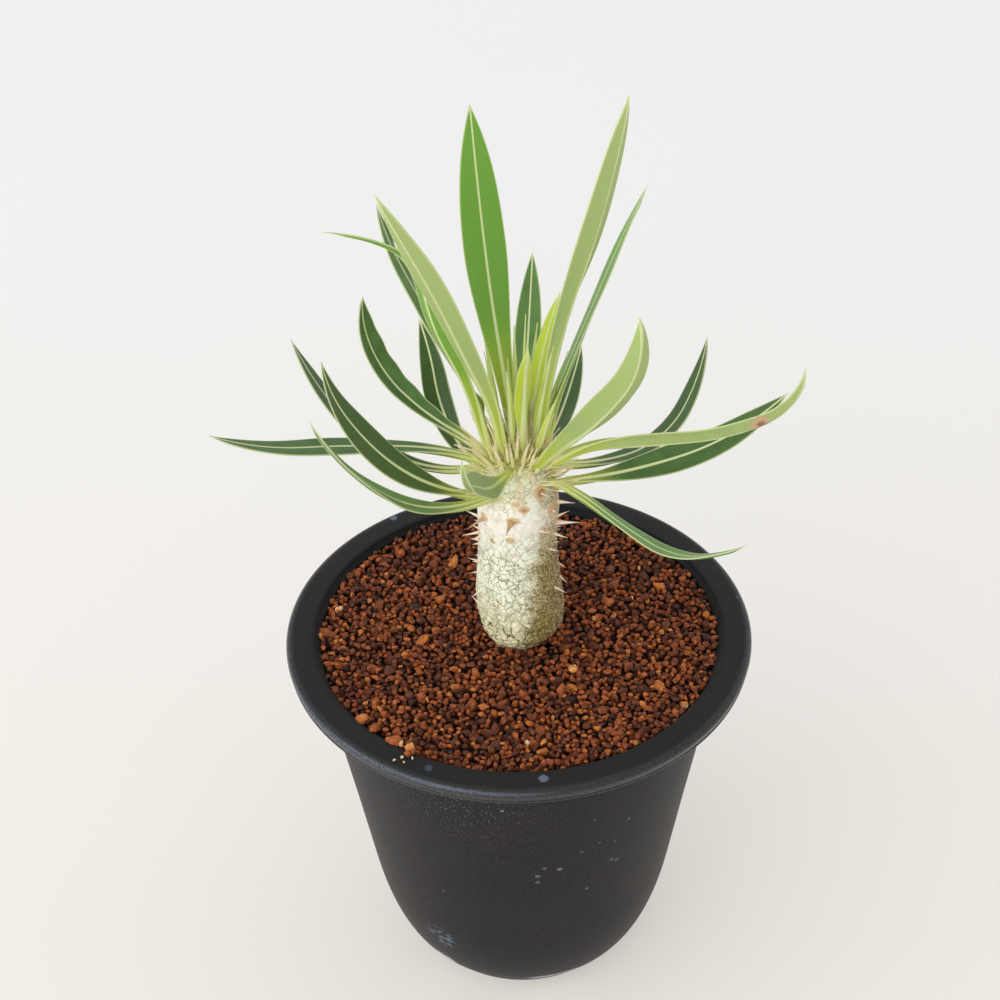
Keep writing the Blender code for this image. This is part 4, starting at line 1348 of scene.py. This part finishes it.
def breadth(leaf, s):
    """Half the blade's width at s along it, narrow at the base and pointed at the tip."""
    if s < leaf.widest:
        share = BASE_BREADTH + (1.0 - BASE_BREADTH) * smooth(s / leaf.widest)
    else:
        share = 1.0 - ((s - leaf.widest) / (1.0 - leaf.widest)) ** TIP_POWER
    return max(leaf.width * MM / 2.0 * share, TIP_BREADTH)


def blade_path(leaf):
    """Places along the midrib, each with its s, the blade's sideways axis and its upward axis."""
    start = stem_radius(leaf.height * MM) + BLADE_SEAT
    place = stem_middle(leaf.height * MM) + start * heading(leaf.azimuth, 0.0)
    path = []
    last = None
    for i in range(PATH_STEPS + 1):
        s = i / PATH_STEPS
        rise = math.radians(along(leaf.rises, s))
        turn = math.radians(leaf.azimuth) + math.radians(leaf.sweep * s)
        ahead = Vector((math.cos(rise) * math.cos(turn), math.cos(rise) * math.sin(turn), math.sin(rise)))
        if last:
            place = place + (ahead + last) / 2.0 * (leaf.length * MM / PATH_STEPS)
        last = ahead
        level = Vector((-math.sin(turn), math.cos(turn), 0.0))
        twist = Matrix.Rotation(math.radians(leaf.twist) * smooth(s / TWIST_REACH), 3, ahead)
        path.append((s, place, twist @ level, twist @ ahead.cross(level)))
    return path


def blade_point(leaf, path, s, side):
    """A point of the blade's upper face; side runs from -1 at the right margin to 1 at the left."""
    s, place, across, up = path[round(s * PATH_STEPS)]
    fold = math.radians(leaf.fold) * (BASE_FOLD + (1.0 - BASE_FOLD) * smooth(s / FOLD_REACH))
    half = breadth(leaf, s)
    valley = math.hypot(side, VALLEY_ROUNDING) - VALLEY_ROUNDING
    curl = MARGIN_CURL * side ** 4.0
    turn = math.tau * (FLUTTER_TURNS * s + FLUTTER_SHIFT * leaf.azimuth)
    flutter = FLUTTER * math.sin(turn) * side * abs(side)
    point = place + across * (side * half * math.cos(fold))
    point += up * (half * (valley * math.sin(fold) - curl + flutter) + BLADE_LIFT)
    if side < 0.0:
        ends = smooth(4.0 * s) * smooth(4.0 * (1.0 - s))
        point += up * (leaf.wave * MM * -side * math.sin(math.tau * WAVES * s) * ends)
    return point


def blade_depth(leaf, s, side):
    """The blade's thickness: thin at the margins, with a rounded midrib below that thins towards the tip."""
    half = breadth(leaf, s)
    skin = (MARGIN_SKIN + SKIN_SWELL * (1.0 - side * side)) * MM * min(1.0, half / (0.9 * MM))
    rib = RIB_DEPTH * (1.0 - s) ** RIB_TAPER + RIB_TIP_DEPTH
    rib_width = (RIB_WIDTH - RIB_NARROWING * s) * MM
    rounded = rib * math.exp(-(side * half / rib_width) ** 2.0) * min(1.0, half / (1.0 * MM))
    return min(skin + rounded, FULL_DEPTH)


LeafLines = namedtuple("LeafLines", "rib margin veins foot channel youth")


def leaf_lines(look, settings):
    """The midrib, margin, side veins, foot and folds of a leaf, each from 0 to 1, and the leaf's youth."""
    share, out, edge = look.attribute("share"), look.attribute("out"), look.attribute("edge")
    youth = look.attribute("youth")
    rib = (out / (0.21 * MM + (1.0 - share) ** 2.0 * (0.34 * MM))).faded(0.55, 1.25)
    margin = edge.faded(0.06 * MM, 0.30 * MM)
    waver = (look.grain(260.0, 2.0) - 0.5) * (0.8 * MM)
    phase = (look.attribute("run") - out * 0.55 + waver) * (math.tau / settings.vein_spacing)
    veins = look.math("SINE", phase).eased(0.1, 1.0)
    foot = share.faded(0.04, 0.24 + youth * 0.30)
    channel = share.faded(0.08, 0.30) * (1.0 - rib) * (1.0 - margin) * edge.eased(0.15 * MM, 0.4 * MM)
    return LeafLines(rib, margin, veins, foot, channel, youth)


def paint_lines(look, settings, lines, foot, channel, rib, margin):
    """Paint a leaf's fresh foot, its folds, and its midrib and margins, each as strongly as given."""
    look.paint(lines.foot * foot, settings.foot)
    look.paint(lines.channel * channel, settings.channel)
    look.paint((lines.rib * rib).larger(lines.margin * margin), settings.rib)
    look.paint(lines.foot ** 3.0 * 0.4, settings.foot)


def upper_finish(settings):
    """Glossy upper side: pale midrib and margins, fine side veins and a fresh yellow-green foot."""
    look = Finish("leaf_upper")
    lines = leaf_lines(look, settings)
    mottle = look.grain(300.0, 4.0)
    tone = lines.youth + (mottle - 0.5) * 0.22
    look.colour = look.mixed(tone.eased(0.0, 0.5), settings.old, settings.grown)
    look.paint(tone.eased(0.55, 1.0), settings.young)
    look.paint(lines.veins * (0.05 + lines.youth * 0.06), settings.rib)
    look.paint((1.0 - lines.veins) * 0.16, settings.old)
    paint_lines(look, settings, lines, 0.85, 0.55, 0.88, 0.6 + lines.foot * 0.3)
    look.shade({"Roughness": 0.34 + mottle * 0.14, "Specular IOR Level": 0.62})
    look.bump(0.5 - lines.veins * 0.25 + lines.rib * 0.2 + mottle * 0.3, 0.08 * MM)
    return look.material


def under_finish(settings):
    """Matte grey-green underside with a pale keel, and a browned spot near one tip."""
    look = Finish("leaf_under")
    lines = leaf_lines(look, settings)
    mottle = look.grain(340.0, 4.0)
    tone = lines.youth + (mottle - 0.5) * 0.2
    look.colour = look.mixed(tone.eased(0.0, 0.42), settings.under_old, settings.under_young)
    look.paint(tone.eased(0.6, 1.0), settings.young)
    look.paint(lines.veins * 0.14, settings.rib)
    paint_lines(look, settings, lines, 0.8, 0.35, 0.6, 0.5 + lines.foot * 0.4)
    from_spot = look.distance(BROWNED_TIP) + (mottle - 0.5) * (4.0 * MM)
    look.paint(from_spot.faded(1.4 * MM, 3.0 * MM), settings.browned)
    look.paint(from_spot.faded(0.5 * MM, 1.5 * MM), settings.dead)
    look.shade({"Roughness": 0.5 + mottle * 0.18})
    look.bump(0.4 + lines.veins * 0.3 + mottle * 0.3, 0.08 * MM)
    return look.material


def scale_finish(settings):
    """Papery stipules with fibres along them, greener at the foot."""
    look = Finish("crown_scale")
    share = look.attribute("share")
    fibre = look.grain(900.0, 4.0, look.warped(400.0, 0.3 * MM, 6.0))
    look.colour = look.mixed(fibre.eased(0.36, 0.56), settings.fibre, settings.stipule)
    look.paint(share.faded(0.1, 0.9) * 0.75, settings.scale_foot)
    look.shade({"Roughness": 0.62 + fibre * 0.2})
    look.bump(fibre, 0.1 * MM)
    return look.material


def shaped_blade(name, leaf, stations, columns, materials):
    """A leaf's upper face bent along its midrib from a flat grid, then given its depth."""
    path = blade_path(leaf)
    grid = bpy.ops.mesh.primitive_grid_add
    blade = added(name, grid, x_subdivisions=stations, y_subdivisions=columns, size=1.0)
    places = [(vertex.co.x + 0.5, vertex.co.y * 2.0) for vertex in blade.data.vertices]
    depths = blade.vertex_groups.new(name="depth")
    inward = (heading(leaf.azimuth + 180.0, 0.0) - Vector((0.0, 0.0, BLADE_DIP))) * BLADE_ROOT
    for vertex, (s, side) in zip(blade.data.vertices, places):
        vertex.co = blade_point(leaf, path, s, side) + inward * (1.0 - smooth(s / ROOT_SHARE))
        depths.add([vertex.index], blade_depth(leaf, s, side) / FULL_DEPTH, "REPLACE")
    store(blade.data, "share", [s for s, side in places])
    store(blade.data, "out", [abs(side) * breadth(leaf, s) for s, side in places])
    store(blade.data, "edge", [(1.0 - abs(side)) * breadth(leaf, s) for s, side in places])
    store(blade.data, "run", [s * leaf.length * MM for s, side in places])
    store(blade.data, "youth", [leaf.youth] * len(places))
    for given in materials:
        blade.data.materials.append(given)
    applied(
        blade, "SOLIDIFY", thickness=FULL_DEPTH, offset=-1.0, vertex_group=depths.name,
        material_offset=len(materials) - 1, material_offset_rim=0,
    )
    smoothed(blade, 55.0)
    return blade


def small_leaf(draw, azimuth, height, rises, spans, widest):
    """A shoot or a scale of the crown, its measures drawn from their spans in turn."""
    length, sweep, width, fold, twist = (draw.uniform(*span) for span in spans)
    return Leaf(azimuth, height, length, sweep, rises, width, fold, twist, widest, 0.0, 1.0)


def spiral(draw, row):
    """Small leaves up a spiral round the middle of the crown."""
    shortest, longest = row.spans.length
    for k in range(row.count):
        level = (k + 0.5) / row.count
        rise = row.rise + row.steepening * level + draw.uniform(-row.waver, row.waver)
        azimuth = (SCAR_TURN * k + row.turn) % 360.0
        rises = tuple(rise + bend for bend in row.bends)
        spans = row.spans._replace(length=(shortest, longest + row.lengthening * level))
        yield small_leaf(draw, azimuth, row.height + row.climb * level, rises, spans, row.widest)


def foot_scales(draw):
    """Papery scales on both sides of each leaf's foot."""
    for leaf in LEAVES:
        for side in FOOT_SCALE_SIDES:
            rise = max(min(leaf.rises[0], 70.0), 10.0) + draw.uniform(*FOOT_SCALE_LIFT)
            azimuth = leaf.azimuth + side * draw.uniform(*FOOT_SCALE_ASIDE)
            height = min(leaf.height + draw.uniform(*FOOT_SCALE_SHIFT), FOOT_SCALE_TOP)
            rises = (rise, rise, rise - 6.0)
            scale = small_leaf(draw, azimuth, height, rises, FOOT_SCALE_SPANS, SCALES.widest)
            yield scale._replace(sweep=side * scale.sweep)


class PACHYPODIUM_OT_leaves(Operator):
    """Shape each leaf from a flat grid, bend it along its midrib and give it its depth"""

    bl_idname = "pachypodium.leaves"
    bl_label = "Leaves"

    def execute(self, context):
        settings = context.scene.pachypodium_leaf
        upper, under = upper_finish(settings), under_finish(settings)
        for i, leaf in enumerate(LEAVES):
            materials = (under, upper) if i + 1 in TURNED_LEAVES else (upper, under)
            blade = shaped_blade("blade_%02d" % (i + 1), leaf, BLADE_STATIONS, BLADE_COLUMNS, materials)
            finished(blade, "leaf_green", *materials)
            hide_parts("leaf_%02d" % (i + 1))

        draw = random.Random(SPINE_SEED)
        shoots = [shoot._replace(youth=draw.uniform(*SHOOT_YOUTH)) for shoot in spiral(draw, SHOOTS)]
        scales = list(spiral(draw, SCALES)) + list(foot_scales(draw))
        papery = scale_finish(context.scene.pachypodium_stem)
        for name, rows, slot, materials in (
            ("crown_shoots", shoots, "leaf_green", (upper, under)),
            ("crown_scales", scales, "bark", (papery,)),
        ):
            copies = [shaped_blade(name, leaf, SMALL_STATIONS, SMALL_COLUMNS, materials) for leaf in rows]
            finished(joined(name, copies), slot, *materials)
        return {"FINISHED"}


def soft_light(name, power, place, aim, width, colour):
    """A large square light that points at a place."""
    data = bpy.data.lights.new(name, "AREA")
    data.shape = "SQUARE"
    data.size = width
    data.energy = power
    data.color = colour
    light = placed(name, data)
    light.location = place
    light.rotation_mode = "QUATERNION"
    light.rotation_quaternion = (Vector(aim) - Vector(place)).to_track_quat("-Z", "Y")


def floor_finish(settings):
    """Pale floor with the faintest clouding, warmer in front and whiter far off as painted light falloff,
    and a weak glow that softens the shadows.
    """
    look = Finish("studio_floor")
    # The floor is painted warmer in front and whiter far off, as painted light falloff
    far = look.axis("Y").eased(*FLOOR_TURNING) * (0.85 + look.grain(9.0, 3.0) * 0.3)
    pale = look.mixed(far, settings.near_floor, settings.floor)
    look.colour = look.mixed(settings.glow, pale, (0.0, 0.0, 0.0))
    look.shade({"Roughness": 0.8, "Specular IOR Level": 0.2})
    look.feed(look.shader, {"Emission Color": pale, "Emission Strength": settings.glow})
    return look.material


def aimed_camera(lens):
    """The camera that sees the plant from the front and above."""
    data = bpy.data.cameras.new("camera")
    data.lens = lens
    data.sensor_width = SENSOR_WIDTH
    camera = placed("camera", data)
    pitch, yaw, roll = (math.radians(a) for a in (CAMERA_PITCH, CAMERA_YAW, CAMERA_ROLL))
    ahead = Vector((math.sin(yaw) * math.cos(pitch), math.cos(yaw) * math.cos(pitch), -math.sin(pitch)))
    right = Vector((math.cos(yaw), -math.sin(yaw), 0.0))
    up = right.cross(ahead)
    turned_right = right * math.cos(roll) + up * math.sin(roll)
    turned_up = up * math.cos(roll) - right * math.sin(roll)
    pose = Matrix((turned_right, turned_up, -ahead)).transposed().to_4x4()
    camera.matrix_world = Matrix.Translation(CAMERA_PLACE) @ pose
    return camera


class PACHYPODIUM_OT_studio(Operator):
    """Lay the pale floor, and set up the soft lights and the camera"""

    bl_idname = "pachypodium.studio"
    bl_label = "Studio"

    def execute(self, context):
        settings = context.scene.pachypodium_studio
        plane = bpy.ops.mesh.primitive_plane_add
        floor = added("studio_floor", plane, (0.0, 0.0, -FLOOR_DROP), size=FLOOR_WIDTH)
        at_origin(floor)
        floor.data.materials.append(floor_finish(settings))

        world = bpy.data.worlds.new("studio_sky")
        world.use_nodes = True
        sky = world.node_tree.nodes["Background"]
        sky.inputs["Color"].default_value = (1.0, 1.0, 1.0, 1.0)
        sky.inputs["Strength"].default_value = settings.sky
        context.scene.world = world
        soft_light("key_light", settings.key, *KEY_LIGHT)
        soft_light("fill_light", settings.fill, *FILL_LIGHT)
        context.scene.camera = aimed_camera(settings.lens)
        context.scene.view_settings.view_transform = "Standard"
        return {"FINISHED"}


class PACHYPODIUM_PT_sidebar(Panel):
    """The pieces of the plant and their settings"""

    bl_label = "Potted pachypodium"
    bl_space_type = "VIEW_3D"
    bl_region_type = "UI"
    bl_category = "Pachypodium"

    def draw(self, context):
        for operator, group in STEPS:
            box = self.layout.box()
            box.operator(operator.bl_idname)
            settings = getattr(context.scene, group)
            for key in settings.bl_rna.properties.keys():
                if key not in ("rna_type", "name"):
                    box.prop(settings, key)


STEPS = (
    (PACHYPODIUM_OT_pot, "pachypodium_pot"),
    (PACHYPODIUM_OT_grit, "pachypodium_grit"),
    (PACHYPODIUM_OT_stem, "pachypodium_stem"),
    (PACHYPODIUM_OT_spines, "pachypodium_stem"),
    (PACHYPODIUM_OT_leaves, "pachypodium_leaf"),
    (PACHYPODIUM_OT_studio, "pachypodium_studio"),
)
GROUPS = {
    "pachypodium_pot": PotSettings,
    "pachypodium_grit": GritSettings,
    "pachypodium_stem": StemSettings,
    "pachypodium_leaf": LeafSettings,
    "pachypodium_studio": StudioSettings,
}


def register():
    for name, group in GROUPS.items():
        bpy.utils.register_class(group)
        setattr(bpy.types.Scene, name, PointerProperty(type=group))
    for operator, group in STEPS:
        bpy.utils.register_class(operator)
    bpy.utils.register_class(PACHYPODIUM_PT_sidebar)


def unregister():
    bpy.utils.unregister_class(PACHYPODIUM_PT_sidebar)
    for operator, group in reversed(STEPS):
        bpy.utils.unregister_class(operator)
    for name, group in reversed(GROUPS.items()):
        delattr(bpy.types.Scene, name)
        bpy.utils.unregister_class(group)


def main():
    register()
    bpy.ops.pachypodium.pot()
    bpy.ops.pachypodium.grit()
    bpy.ops.pachypodium.stem()
    bpy.ops.pachypodium.spines()
    bpy.ops.pachypodium.leaves()
    bpy.ops.pachypodium.studio()


if __name__ == "__main__":
    main()
